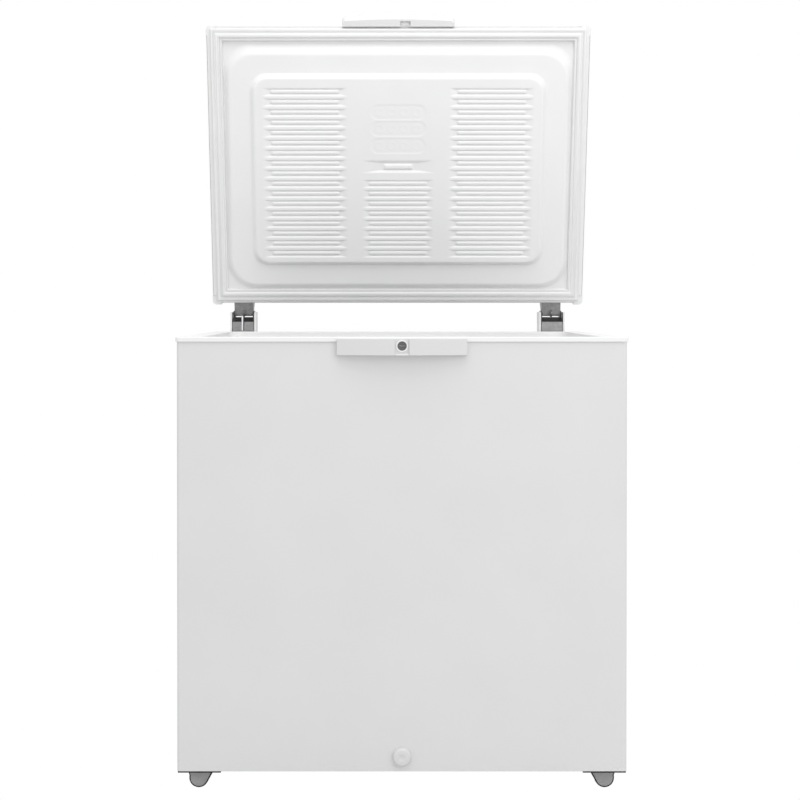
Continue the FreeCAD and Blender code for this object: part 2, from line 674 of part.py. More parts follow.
def make_plumbing():
    v = value
    x, y, z = v(COMP_X), v(COMP_Y), v(COMP_Z)
    r, wall, roof = v("compressor_radius"), v("room_left"), v("room_top")
    side = x - r
    suction = feature("suction", pipe(
        [(side + 4, y + 20, z + 55), (side - 18, y + 20, z + 55), (side - 18, y + 20, roof - 25),
         (side - 18, y - 20, roof - 18), (side - 18, y - 20, roof + 4)], 4, 8))
    discharge = feature("discharge", pipe(
        [(side + 4, y - 22, z + 50), (side - 14, y - 22, z + 50), (side - 14, y - 75, z + 95),
         (side - 14, y - 75, roof + 4)], 3, 8))
    drier_x, drier_y = f"{COMP_X} - 40", f"{COMP_Y} - 125"
    node("filter_drier", fuse(
        "drier_solid", rod("drier", "z", (drier_x, drier_y, f"{COMP_Z} + 70"), "9", "75"),
        cone("drier_low", "z", (drier_x, drier_y, f"{COMP_Z} + 58"), "2.5", "9", "12"),
        cone("drier_high", "z", (drier_x, drier_y, f"{COMP_Z} + 145"), "9", "3", "12")))
    low = v(f"{COMP_Z} + 58")
    capillary = feature("capillary", pipe(
        [(v(drier_x), v(drier_y), low + 2), (v(drier_x), v(drier_y), low - 20),
         (wall + 12, v(drier_y), low - 20), (wall + 12, v(drier_y), roof + 4)], 1.2, 6))
    top = v(f"{COMP_Z} + 157")
    back = feature("return_pipe", pipe(
        [(v(drier_x), v(drier_y), top - 2), (v(drier_x), v(drier_y), top + 18),
         (v(drier_x) + 30, v(drier_y), top + 18), (v(drier_x) + 30, v(drier_y), roof + 4)],
        2.5, 6))
    node("condenser_pipes", group("hot_pipes", discharge, back))
    node("evaporator_pipes", group("cold_pipes", suction, capillary))


def make_grille():
    """The grille on the right side, with the control panel in its front end."""
    y = ("grille_front", "grille_rear")
    z = ("grille_low", "grille_top")
    plate = box("grille_box", ("cab_right", "cab_right + grille_plate"), y, z)
    edge = soften("grille_round", plate, "2.2",
                  lambda e: e.BoundBox.XLength < 0.01
                  and abs(e.BoundBox.XMin - value("cab_right + grille_plate")) < 0.01)
    skirt = box("grille_skirt", ("cab_right - 8", "cab_right"),
                ("grille_front + 8", "grille_rear - 8"), ("grille_low + 8", "grille_top - 8"))
    room = box("grille_room", ("cab_right - 9", "cab_right"),
               ("grille_front + 10", "grille_rear - 10"), ("grille_low + 10", "grille_top - 10"))
    slots = [box(f"grille_slot_{i}", ("cab_right - 1", "cab_right + 5"),
                 ("grille_rear - 24 - slot_long", "grille_rear - 24"),
                 (f"grille_low + 28 + {i}*slot_pitch", f"grille_low + 28 + {i}*slot_pitch + slot_high"))
             for i in range(int(value("slots")))]
    panel_y = ("grille_front + 12", "grille_front + 12 + control_long")
    panel_z = ("grille_top - 88", "grille_top - 12")
    window = box("control_window", ("cab_right - 1", "cab_right + 5"), panel_y, panel_z)
    grille = cut("grille_cut", fuse("grille_solid", edge, cut("grille_frame", skirt, room)),
                 *slots, window)
    node("side_grille", grille)
    tray = box("control_tray", ("cab_right - control_recess", "cab_right + grille_plate"),
               panel_y, panel_z)
    hollow = box("control_hollow", ("cab_right - control_recess + 2", "cab_right + 5"),
                 tuple(f"{t} {s} 2" for t, s in zip(panel_y, "+-")),
                 tuple(f"{t} {s} 2" for t, s in zip(panel_z, "+-")))
    back = "cab_right - control_recess - 2"
    holes = [rod("knob_hole", "x", (back, "knob_y", "knob_z"), "3.6", "8")]
    lamps = []
    for i in range(2):
        place = ("knob_y + 38", f"knob_z + 14 - {i}*14")
        holes.append(rod(f"lamp_hole_{i}", "x", (back, *place), "3", "8"))
        lamp = rod(f"lamp_{i}", "x", ("cab_right - control_recess - 1", *place), "3", "4.5")
        lamps.append(soften(f"lamp_round_{i}", lamp, "1.2",
                            lambda e: abs(e.BoundBox.XMin - value("cab_right - control_recess + 3.5"))
                            < 0.01))
    switch_y = ("knob_y + 31", "knob_y + 45")
    switch_z = ("knob_z - 26", "knob_z - 14")
    holes.append(box("switch_hole", (back, "cab_right"), switch_y, switch_z))
    node("control_panel", cut("control_cut", tray, hollow, *holes))
    node("indicator_lamps", group("lamps", *lamps))
    button = box("switch_box", ("cab_right - control_recess - 1.5", "cab_right"),
                 tuple(f"{t} {s} 0.3" for t, s in zip(switch_y, "+-")),
                 tuple(f"{t} {s} 0.3" for t, s in zip(switch_z, "+-")))
    node("fast_freeze_button", button)
    housing = box("thermostat_box", ("cab_right - control_recess - 34", "cab_right - control_recess"),
                  ("knob_y - 18", "knob_y + 18"), ("knob_z - 18", "knob_z + 18"))
    bore = rod("thermostat_bore", "x", ("cab_right - control_recess - 20", "knob_y", "knob_z"),
               "3.05", "25")
    node("thermostat_body", cut("thermostat", housing, bore))
    dial = rod("knob_disc", "x", ("cab_right - control_recess + 2.4", "knob_y", "knob_z"), "knob",
               "knob_high")
    dial = soften("knob_round", dial, "1.5",
                  lambda e: abs(e.BoundBox.XMin - value("cab_right - control_recess + 2.4 + knob_high"))
                  < 0.01)
    stem = rod("knob_stem", "x", ("cab_right - control_recess - 19", "knob_y", "knob_z"), "3",
               "22")
    mark = box("knob_mark", ("cab_right - control_recess + 2.4 + knob_high - 0.8", "cab_right + 9"),
               ("knob_y - 0.8", "knob_y + 0.8"), ("knob_z + 5", "knob_z + knob + 1"))
    node("thermostat_knob", cut("knob_cut", fuse("knob_solid", dial, stem), mark))


def make_basket():
    """A basket that hangs across the tub on the ledge; its walls stand for wire mesh."""
    x = ("basket_left", "basket_right")
    y = ("tub_front + basket_gap", "tub_rear - basket_gap")
    low, brim, mid = "basket_top - basket_deep", "basket_top - basket_rim/3", "basket_wall/2"
    body = new_body("basket_body")
    raise_block(body, "basket_outer", x, y, (low, brim), "basket_corner")
    sink_block(body, "basket_inner", *grown(x, y, "-basket_wall"),
               (f"{low} + basket_wall", brim), "basket_corner - basket_wall")
    hook_y = ("tub_front - basket_hook", "tub_rear + basket_hook")
    sides = (f"basket_left + {mid}", f"basket_right - {mid}")
    rails = [rod(f"basket_rail_{i}", "y", (side, f"{hook_y[0]} - basket_rim", "basket_top"),
                 "basket_rim", f"({hook_y[1]}) - ({hook_y[0]}) + 2*basket_rim")
             for i, side in enumerate(sides)]
    ends = [rod(f"basket_end_{i}", "x", (sides[0], side, "basket_top"), "0.9*basket_rim",
                f"({sides[1]}) - ({sides[0]})") for i, side in enumerate(hook_y)]
    node("storage_basket", fuse("basket", body, *rails, *ends))


# ---- casters -------------------------------------------------------------------------------

def make_hood(name, side, x, y):
    """The cheek that hangs from the plate over the wheel's outer face."""
    radius = "(wheel - hood_trim)"
    reach = "(wheel_width/2 + hood_gap)"
    low = f"{y} - {reach} - hood" if name.startswith("front") else f"{y} + {reach}"
    outer, inner = f"{x} + {side}*{radius}", f"{x} - {side}*{radius}*cos(hood_lean*1deg)"
    cheek = extruded("hood_cheek_" + name, "XZ_Plane", f"-({low} + hood)", f"-({low})", [
        (outer, "base_height"), (outer, "wheel"),
        (x, f"wheel - {radius}/2"), (inner, f"wheel - {radius}*sin(hood_lean*1deg)"),
        (f"{x} - {side}*hood_run", "base_height - fork_plate"),
        (f"{x} - {side}*hood_run", "base_height")])
    return cheek, rod("hood_round_" + name, "y", (x, low, "wheel"), radius, "hood")


def make_casters():
    for name, x, y in wheel_places():
        side = "1" if name.endswith("right") else "-1"
        near = f"{side}*(cab_right - fork_edge)"
        far = f"{side}*(cab_right - fork_edge - fork_long)"
        span = (near, far) if side == "-1" else (far, near)
        plate = box("fork_plate_" + name, span, (f"{y} - fork_wide/2", f"{y} + fork_wide/2"),
                    ("base_height - fork_plate", "base_height"))
        slot = box("fork_slot_" + name, (f"{x} - wheel - 1.5", f"{x} + wheel + 1.5"),
                   (f"{y} - wheel_width/2 - 1.5", f"{y} + wheel_width/2 + 1.5"),
                   ("base_height - fork_plate - 1", "base_height + 1"))
        ear_y = (f"{y} - fork_ear/2", f"{y} + fork_ear/2")
        bridge = box("fork_bridge_" + name, (f"{x} - wheel - 2", f"{x} + wheel + 2"), ear_y,
                     ("base_height - fork_plate", "base_height"))
        ear = box("fork_ear_" + name, (f"{x} - axle - 4", f"{x} + axle + 4"), ear_y,
                  ("wheel - axle - 4", "base_height"))
        hole = rod("fork_hole_" + name, "y", (x, f"{y} - fork_ear", "wheel"), "axle", "2*fork_ear")
        solid = fuse("fork_solid_" + name, cut("fork_frame_" + name, plate, slot), bridge, ear,
                     *make_hood(name, side, x, y))
        node("caster_bracket_" + name, cut("fork_" + name, solid, hole))
        half = "(wheel_width - fork_ear)/2 - fork_gap"
        discs = []
        for face, start, shift in (("outer", f"{y} - wheel_width/2", "wheel_face"),
                                   ("inner", f"{y} + fork_ear/2 + fork_gap", "-wheel_face")):
            disc = rod(f"disc_{face}_{name}", "y", (x, start, "wheel"), "wheel", half)
            disc = soften(f"disc_round_{face}_{name}", disc, "2",
                          lambda e: e.BoundBox.YLength < 0.01)
            bore = rod(f"disc_bore_{face}_{name}", "y", (x, f"{start} + {shift}", "wheel"),
                       "axle + axle_fit", half)
            discs.append(cut(f"disc_cut_{face}_{name}", disc, bore))
        node("caster_wheel_" + name, group("wheel_" + name, *discs))
    axles = [rod("axle_" + name, "y", (x, f"{y} - wheel_width/2 + wheel_face + 0.5", "wheel"), "axle",
                 "wheel_width - 2*wheel_face - 1") for name, x, y in wheel_places()]
    node("caster_axles", group("axles", *axles))


# ---- lock ----------------------------------------------------------------------------------

LOCK_Y = "rim_front - 10.5"


def make_lock():
    half = "lock_wide/2"
    body = new_body("lock_body")
    pad = body.newObject("PartDesign::Pad", "lock_pad")
    pad.Profile = bow_sketch(body, "lock_outline", "cab_front", "cab_front - lock_end",
                             "cab_front - lock_mid", half, "lock_bottom")
    bind(pad, "Length", "lock_high")
    hollow = new_body("lock_hollow")
    space = hollow.newObject("PartDesign::Pad", "lock_space")
    space.Profile = bow_sketch(hollow, "lock_inside", "cab_front + 1",
                               "cab_front - lock_end + lock_wall",
                               "cab_front - lock_mid + lock_wall + pocket_deep",
                               f"{half} - lock_wall", "lock_bottom + lock_wall")
    bind(space, "Length", "lock_high - 2*lock_wall")
    lip = box("lock_lip", (f"-{half} - 1", f"{half} + 1"), ("rim_front", "cab_front + 2"),
              ("rim_top - rim_lip", "rim_top"))
    pocket = extruded("lock_pocket", "YZ_Plane", "-pocket_half", "pocket_half", [
        ("cab_front - lock_mid - 1", "lock_bottom + pocket_rise - 5"),
        ("cab_front - lock_mid - 1", "lock_top + 1"), ("pocket_y", "lock_top + 1"),
        ("pocket_y", "lock_bottom + pocket_rise")])
    bore = rod("lock_bore", "y", ("0", "pocket_y - 1", "lock_z"), "barrel + barrel_fit", "12")
    slot = box("lock_slot", ("0", "cam_reach + 3"), (f"{LOCK_Y} - 2.5", f"{LOCK_Y} + 2.5"),
               ("lock_z + 5", "lock_top + 1"))
    node("lock_housing", cut("lock_housing_cut", body, hollow, lip, pocket, bore, slot))
    ring = rod("collar_disc", "y", ("0", "pocket_y - 1.2", "lock_z"), "collar", "1.2")
    hole = rod("collar_hole", "y", ("0", "pocket_y - 2", "lock_z"), "barrel + barrel_fit", "4")
    node("lock_collar", cut("collar_cut", ring, hole))
    barrel = rod("barrel_rod", "y", ("0", "pocket_y - 1.4", "lock_z"), "barrel",
                 f"({LOCK_Y}) - pocket_y + 1.4 - cam_thick/2")
    keyway = box("keyway", ("-4.5", "4.5"), ("pocket_y - 2", "pocket_y + 4"),
                 ("lock_z - 0.9", "lock_z + 0.9"))
    node("lock_barrel", cut("barrel_cut", barrel, keyway))
    arm = box("cam_arm", ("0", "cam_reach - cam_wide/2"), ("-cam_thick/2", "cam_thick/2"),
              ("-cam_wide/2", "cam_wide/2"))
    tip = rod("cam_tip", "y", ("cam_reach - cam_wide/2", "-cam_thick/2", "0"), "cam_wide/2",
              "cam_thick")
    hub = rod("cam_hub", "y", ("0", "-cam_thick/2", "0"), "barrel", "cam_thick")
    cam = fuse("cam_solid", arm, tip, hub)
    cam.Placement = FreeCAD.Placement(Vector(), Rotation(Vector(0, 1, 0), value("cam_rest")))
    bind(cam, "Placement.Base.y", LOCK_Y)
    bind(cam, "Placement.Base.z", "lock_z")
    node("lock_cam", cam)


# ---- lid -----------------------------------------------------------------------------------

def plug_body(name, inset, rise):
    """The two raised steps of the lid's liner, or the foam behind them."""
    def outline(side, front, rear, run, run_front, corner, height):
        half = f"(lid_right - {side} + {run} - ({inset}))"
        depth = (f"shell_front + {front} - {run_front} + ({inset})",
                 f"shell_rear - {rear} + {run} - ({inset})")
        return ("-" + half, half), depth, f"{corner} - ({inset})", height

    body = new_body(name)
    base = f"lid_under + ({rise})"
    first = f"lid_under - plug_one + ({rise})"
    second = f"lid_under - plug_one - plug_two + ({rise})"
    loft(body, "AdditiveLoft", name + "_one",
         outline("one_side", "one_front", "one_rear", "one_run", "one_run_front",
                 "one_corner", base),
         outline("one_side", "one_front", "one_rear", "0", "0", "one_corner", first))
    loft(body, "AdditiveLoft", name + "_two",
         outline("two_side", "two_front", "two_rear", "two_run", "two_run", "two_corner", first),
         outline("two_side", "two_front", "two_rear", "0", "0", "two_corner", second))
    return body


def corner_blocks(name):
    """A block at each corner of the lid, where its caps sit."""
    blocks = []
    for side, sign in RIGHT_LEFT:
        edge, inner = f"{sign}*(lid_right + 5)", f"{sign}*(lid_right - cap_size)"
        x = (edge, inner) if sign == "-1" else (inner, edge)
        for end, y in (("front", ("lid_front - 5", "lid_front + cap_size")),
                       ("rear", ("lid_rear - cap_size", "lid_rear + 5"))):
            blocks.append(box(f"{name}_{end}_{side}", x, y,
                              ("lid_under - 1", "lid_top - cap_top_gap")))
    return group(name, *blocks)


def make_lid():
    x, y = ("-shell_right", "shell_right"), ("shell_front", "shell_rear")
    corners = corner_blocks("cap_rooms")
    body = new_body("lid_body")
    raise_block(body, "lid_outer", x, y, ("lid_under", "lid_top"), "cap_round")
    top = soften("lid_top_round", body, "lid_edge", level("lid_top"))
    inside = new_body("lid_inside")
    raise_block(inside, "lid_inside_block", *grown(x, y, "-lid_skin"),
                ("lid_under - 1", "lid_top - lid_skin"), "cap_round - lid_skin")
    inside = soften("lid_inside_round", inside, "lid_edge - lid_skin", level("lid_top - lid_skin"))
    lid_node("lid_outer_shell", cut("lid_shell", top, inside, corners))
    space = common("lid_space", inside, box("lid_bounds", ("-lid_right", "lid_right"),
                                            ("lid_front", "lid_rear"),
                                            ("lid_under + lid_liner", "lid_top")))
    foam = fuse("lid_foam_all", space, plug_body("foam_plug", "lid_liner", "lid_liner + rib_deep"))
    lid_node("lid_foam", cut("lid_foam_cut", foam, corners))
    sheet = new_body("liner_sheet")
    raise_block(sheet, "liner_sheet_block", *grown(x, y, "-lid_skin"),
                ("lid_under", "lid_under + lid_liner"), "cap_round - lid_skin")
    outside = fuse("lid_liner_all", sheet, plug_body("liner_plug", "0", "0"))
    hollow = plug_body("liner_hollow", "lid_liner", "lid_liner + rib_deep")
    lid_node("lid_liner", cut("lid_liner_cut", outside, hollow, corners))
    caps = new_body("caps_body")
    raise_block(caps, "caps_block", ("-lid_right", "lid_right"), ("lid_front", "lid_rear"),
                ("lid_under", "lid_top - cap_top_gap"), "cap_round")
    lid_node("lid_corner_caps", common("caps", caps, corners))
    seal = new_body("gasket_body")
    ring = (("gasket_side - shell_right", "shell_right - gasket_side"),
            ("shell_front + gasket_front", "shell_rear - gasket_rear"))
    low = ("rim_plane + gasket_gap", "lid_under")
    raise_block(seal, "gasket_outer", *ring, low, "4")
    sink_block(seal, "gasket_inner", *grown(*ring, "-gasket_width"), low, "4")
    lid_node("lid_gasket", soften("gasket_round", seal, "3", level("rim_plane + gasket_gap")))


def make_handle():
    """The moulded handle on the lid's front edge, hollow and open at the back."""
    half = "handle_width/2"
    slope = "handle_low + 12"

    def solid(name, wall):
        body = new_body(name)
        inner = f"{half} - ({wall})"
        low, mid, top = (f"handle_low + ({wall})", slope, f"handle_low + handle_high - ({wall})")
        back = "shell_front" if wall == "0" else "shell_front + 1"
        sole = bow_sketch(body, name + "_sole", back, f"shell_front - sole_end + ({wall})",
                          f"shell_front - sole_mid + ({wall})", inner, low)
        nose = bow_sketch(body, name + "_nose", back, f"shell_front - nose_end + ({wall})",
                          f"shell_front - nose_mid + ({wall})", inner, mid)
        piece = body.newObject("PartDesign::AdditiveLoft", name + "_slope")
        piece.Profile = sole
        piece.Sections = [nose]
        piece.Ruled = True
        pad = body.newObject("PartDesign::Pad", name + "_pad")
        pad.Profile = bow_sketch(body, name + "_upper", back,
                                 f"shell_front - nose_end + ({wall})",
                                 f"shell_front - nose_mid + ({wall})", inner, mid)
        bind(pad, "Length", f"({top}) - ({mid})")
        return body

    outer = soften("handle_corners", solid("handle_outer", "0"), "handle_round",
                   lambda e: e.BoundBox.XLength < 0.01 and e.BoundBox.ZLength > 5
                   and e.BoundBox.YMax < value("shell_front") - 1)
    slot = box("handle_slot", ("strike_left", "strike_right"),
               ("shell_front - 6.2 - strike_depth/2", "shell_front - 6.2 + strike_depth/2"),
               ("handle_low - 1", "handle_low + handle_wall + 1"))
    lid_node("lid_handle", cut("handle_cut", outer, solid("handle_inner", "handle_wall"), slot))


# ---- hinges --------------------------------------------------------------------------------

def cam_edge(steps):
    """Points of the involute that pushes the plunger down evenly as the lid closes."""
    swing = math.radians(value("open_angle"))
    radius, start = value("cam_base"), value("cam_open")
    points = []
    for i in range(steps + 1):
        turn = swing * i / steps
        reach = start + radius * (swing - turn)
        points.append(Vector(0, -radius * math.cos(turn) + reach * math.sin(turn),
                             -radius * math.sin(turn) - reach * math.cos(turn)))
    return points


def make_cam(name, middle):
    """The lobe under each arm, drawn closed about the hinge axis."""
    edge = cam_edge(8)
    curve = Part.BSplineCurve()
    curve.interpolate(edge)
    first, last = edge[0], edge[-1]
    top = -value("arm_drop") + 2
    corners = [last, Vector(0, last.y, top), Vector(0, first.y - 2, top),
               Vector(0, first.y - 2, first.z + 2), first]
    sides = [Part.LineSegment(a, b).toShape() for a, b in zip(corners, corners[1:])]
    face = Part.Face(Part.Wire([curve.toShape()] + sides))
    width = value("cam_width")
    face.translate(Vector(value(middle) - width / 2, 0, 0))
    return feature(name, face.extrude(Vector(width, 0, 0)))


def make_hinges():
    covers, pins, case_screws, lid_screws = [], [], [], []
    web = [("cab_rear", "bracket_low"), ("cab_rear + hinge_steel", "bracket_low"),
           ("cab_rear + hinge_steel", "rim_top - jog_low - jog_turn"),
           ("web_back + hinge_steel", "rim_top - jog_high - jog_turn"),
           ("web_back + hinge_steel", "rim_top + web_rise"), ("web_back", "rim_top + web_rise"),
           ("web_back", "rim_top - jog_high"), ("cab_rear", "rim_top - jog_low")]
    flange = [("cab_rear", "bracket_low"), ("cab_rear + hinge_depth", "bracket_low"),
              ("pivot_y + boss", "pivot_z - flange_drop"), ("pivot_y + boss", "pivot_z + boss"),
              ("pivot_y - boss", "pivot_z + boss"), ("web_back", "rim_top + web_rise"),
              ("web_back", "rim_top - jog_high"), ("cab_rear", "rim_top - jog_low")]
    ear = [("shell_rear", "-arm_drop"), ("arm_boss - 2", "-arm_drop"), ("arm_boss", "2 - arm_drop"),
           ("arm_boss", "arm_boss - 2"), ("arm_boss - 3", "arm_boss"),
           ("-arm_boss", "arm_boss + 2"), ("shell_rear + 12", "lid_top - arm_top"),
           ("shell_rear", "lid_top - arm_top")]
    for side, sign in RIGHT_LEFT:
        middle = f"{sign}*hinge_offset"
        low, high = f"{middle} - hinge_width/2", f"{middle} + hinge_width/2"
        shelf = box("shelf_" + side, (low, high), ("cab_rear", "cab_rear + hinge_depth"),
                    ("bracket_low", "bracket_low + hinge_steel"))
        channel = fuse("channel_" + side, extruded("web_" + side, "YZ_Plane", low, high, web),
                       extruded("flange_a_" + side, "YZ_Plane", low, f"{low} + hinge_steel",
                                flange),
                       extruded("flange_b_" + side, "YZ_Plane", f"{high} - hinge_steel", high,
                                flange), shelf)
        pin_hole = rod("pin_hole_" + side, "x", (f"{low} - 1", "pivot_y", "pivot_z"), "pin",
                       "hinge_width + 2")
        node("hinge_bracket_" + side, cut("bracket_" + side, channel, pin_hole))
        pins.append(rod("pin_" + side, "x", (low, "pivot_y", "pivot_z"), "pin", "hinge_width"))

        left, right = f"{middle} - arm_width/2", f"{middle} + arm_width/2"
        arm = fuse("arm_solid_" + side,
                   extruded("ear_a_" + side, "YZ_Plane", left, f"{left} + hinge_steel", ear),
                   extruded("ear_b_" + side, "YZ_Plane", f"{right} - hinge_steel", right, ear),
                   box("arm_web_" + side, (left, right), ("shell_rear", "-arm_short"),
                       ("-arm_drop", "hinge_steel - arm_drop")),
                   box("arm_plate_" + side, (left, right),
                       ("shell_rear", "shell_rear + hinge_steel"), ("-arm_drop", "lid_top - arm_top")),
                   make_cam("cam_" + side, middle))
        arm_hole = rod("arm_hole_" + side, "x", (f"{left} - 1", "0", "0"), "pin + pin_fit",
                       "arm_width + 2")
        lid_node("hinge_arm_" + side, cut("arm_" + side, arm, arm_hole))

        room = "arm_width/2 - hinge_steel - 0.5"
        near = "spring_y - plunger_deep/2 + 0.5"
        block = box("plunger_box_" + side, (f"{middle} - ({room})", f"{middle} + ({room})"),
                    (near, f"{near} + plunger_deep"), ("plunger_low", "plunger_top"))
        node("spring_plunger_" + side,
             soften("plunger_round_" + side, block, "1.5",
                    lambda e: e.BoundBox.XLength > 5 and e.BoundBox.YLength < 0.01))
        r = value("spring_radius")
        x, y = value(middle), value(f"{near} + plunger_deep/2")
        wire = value("spring_wire")
        low_z, high_z = value("spring_low") + wire + 0.1, value("plunger_low") - wire - 0.1
        route = coil_points((x - r, x + r), (y - r, y + r), low_z, high_z,
                            int(value("spring_turns")))
        start, end = Vector(*route[0]), Vector(*route[-1])
        route[0] = (start.x + r, start.y, start.z)
        route[-1] = (end.x, end.y + r, end.z)
        node("hinge_spring_" + side, feature("spring_" + side, pipe(route, wire, r * 0.97)))

        out = (f"{middle} - cover_half", f"{middle} + cover_half")
        inner = tuple(f"{t} {s} cover_wall" for t, s in zip(out, "+-"))
        block = box("cover_box_" + side, out, ("cab_rear", "pivot_y + boss + cover_gap + cover_wall"),
                    ("bracket_low - 6", "rim_top + cover_rise"))
        hollow = box("cover_hollow_" + side, inner, ("cab_rear - 1", "pivot_y + boss + cover_gap"),
                     ("bracket_low - 2.5", "rim_top + cover_rise + 1"))
        notch = box("cover_notch_" + side, (f"{out[0]} - 1", f"{out[1]} + 1"),
                    ("cab_rear - 1", "shell_rear + pivot_y + 1.2"),
                    ("rim_top - jog_high - jog_turn", "rim_top + cover_rise + 1"))
        window = box("cover_window_" + side, inner,
                     ("pivot_y", "pivot_y + boss + cover_gap + cover_wall + 1"),
                     ("rim_top + cover_back", "rim_top + cover_rise + 1"))
        covers.append((side, cut("cover_" + side, block, hollow, notch, window)))
        for i in range(3):
            z = f"bracket_low + case_screw_low + {i}*case_screw_pitch"
            case_screws.append(fuse(f"case_screw_{side}_{i}",
                                    rod(f"case_head_{side}_{i}", "y",
                                        (middle, "cab_rear + hinge_steel", z),
                                        "case_screw_head", "case_screw_high"),
                                    rod(f"case_shank_{side}_{i}", "y",
                                        (middle, "cab_rear - screw_deep", z), "screw_shank",
                                        "screw_deep + hinge_steel + 0.5")))
        for i, way in enumerate(("-", "+")):
            place = f"{middle} {way} lid_screw_apart"
            lid_screws.append(fuse(f"lid_screw_{side}_{i}",
                                   rod(f"lid_head_{side}_{i}", "y",
                                       (place, "shell_rear + hinge_steel", "lid_screw_rise"),
                                       "lid_screw_head", "lid_screw_high"),
                                   rod(f"lid_shank_{side}_{i}", "y",
                                       (place, "shell_rear - screw_deep", "lid_screw_rise"),
                                       "screw_shank", "screw_deep + hinge_steel + 0.5")))
    for side, cover in covers:
        node("hinge_cover_" + side, cover)
    node("hinge_pins", group("pins", *pins))
    node("hinge_screws_cabinet", group("case_screws", *case_screws))
    lid_node("hinge_screws_lid", group("lid_screws", *lid_screws))


# ---- the whole freezer ---------------------------------------------------------------------

rooms = wheel_room()
make_shell()
make_rear_panel()
make_base(rooms)
make_foam(rooms, make_tub())
make_frame()
make_drain()
make_pipes()
make_compressor()
make_plumbing()
make_grille()
make_basket()
make_casters()
make_lock()
make_lid()
make_handle()
make_hinges()
doc.recompute()

faults = [o.Name for o in doc.Objects if "Invalid" in o.State or "Error" in o.State]
for name, piece in nodes.items():
    if piece.Shape.isNull() or not piece.Shape.isValid() or not piece.Shape.Solids:
        faults.append(name)
if faults:
    raise RuntimeError("failed: " + ", ".join(faults))

os.makedirs("parts", exist_ok=True)
for name, piece in nodes.items():
    piece.Shape.exportStep(f"parts/{name}.step")
print(len(nodes), "nodes")
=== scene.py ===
import json
import math

import bpy
import numpy as np
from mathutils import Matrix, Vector


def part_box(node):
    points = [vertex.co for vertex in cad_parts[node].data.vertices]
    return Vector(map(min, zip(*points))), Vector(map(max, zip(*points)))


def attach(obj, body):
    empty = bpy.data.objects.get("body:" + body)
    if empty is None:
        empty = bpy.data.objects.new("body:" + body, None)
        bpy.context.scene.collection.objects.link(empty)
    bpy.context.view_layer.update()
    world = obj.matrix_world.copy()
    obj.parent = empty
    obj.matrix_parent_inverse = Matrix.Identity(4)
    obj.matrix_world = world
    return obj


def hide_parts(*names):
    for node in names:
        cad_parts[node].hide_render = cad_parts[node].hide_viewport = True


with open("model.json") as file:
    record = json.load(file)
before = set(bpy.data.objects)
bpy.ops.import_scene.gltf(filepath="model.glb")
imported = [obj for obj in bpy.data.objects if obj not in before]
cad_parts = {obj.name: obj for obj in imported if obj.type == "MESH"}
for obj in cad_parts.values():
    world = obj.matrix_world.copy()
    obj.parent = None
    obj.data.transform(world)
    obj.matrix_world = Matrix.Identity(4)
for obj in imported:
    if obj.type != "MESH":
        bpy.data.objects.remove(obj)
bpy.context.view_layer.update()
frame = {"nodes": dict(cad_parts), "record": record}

# Chest freezer with its lid open: finishes for every imported piece, then the shapes drawn here
# (the lid liner's moulded relief, its gasket and strike plate, the wire basket, the casters, the
# drain cap and the hinges' black flange strips and hook), then a pale studio and the camera.

MM = 0.001      # lengths below are in millimetres unless they say metres
nodes = frame["nodes"]
record = frame["record"]
slot_of = {part["node"]: part["material_slot"] for part in record["subparts"]}


# ---- material helpers ----------------------------------------------------------------------

def new_material(name, rough, metal=0.0, **sockets):
    """A material with its shader's plain values set. Returns it, its nodes and its shader."""
    material = bpy.data.materials.new(name)
    material.use_nodes = True
    tree = material.node_tree
    shader = tree.nodes["Principled BSDF"]
    shader.inputs["Roughness"].default_value = rough
    shader.inputs["Metallic"].default_value = metal
    for socket, value in sockets.items():
        shader.inputs[socket.replace("_", " ")].default_value = value
    return material, tree, shader


def place(tree):
    """The point on the surface, in the object's own frame."""
    return tree.nodes.new("ShaderNodeTexCoord").outputs["Object"]


def stretched(tree, scale):
    """The surface point, scaled by a different amount along each axis."""
    node = tree.nodes.new("ShaderNodeMapping")
    node.inputs["Scale"].default_value = scale
    tree.links.new(place(tree), node.inputs["Vector"])
    return node.outputs["Vector"]


def noise(tree, scale, detail=3.0, where=None):
    node = tree.nodes.new("ShaderNodeTexNoise")
    node.inputs["Scale"].default_value = scale
    node.inputs["Detail"].default_value = detail
    tree.links.new(where or place(tree), node.inputs["Vector"])
    return node.outputs["Fac"]


def cells(tree, scale, output="Color", feature="F1"):
    node = tree.nodes.new("ShaderNodeTexVoronoi")
    node.feature = feature
    node.inputs["Scale"].default_value = scale
    tree.links.new(place(tree), node.inputs["Vector"])
    return node.outputs[output]


def ramp(tree, factor, *stops):
    """Colours or grey values along a factor, each stop (position, colour)."""
    node = tree.nodes.new("ShaderNodeValToRGB")
    elements = node.color_ramp.elements
    while len(elements) < len(stops):
        elements.new(0.5)
    for element, (position, colour) in zip(elements, stops):
        element.position = position
        if not hasattr(colour, "__len__"):
            colour = (colour,) * 3
        element.color = (*colour, 1.0)
    tree.links.new(factor, node.inputs["Fac"])
    return node.outputs["Color"]


def maths(tree, operation, *values):
    node = tree.nodes.new("ShaderNodeMath")
    node.operation = operation
    for socket, value in zip(node.inputs, values):
        if isinstance(value, (int, float)):
            socket.default_value = value
        else:
            tree.links.new(value, socket)
    return node.outputs[0]


BEVEL_SAMPLES = 4


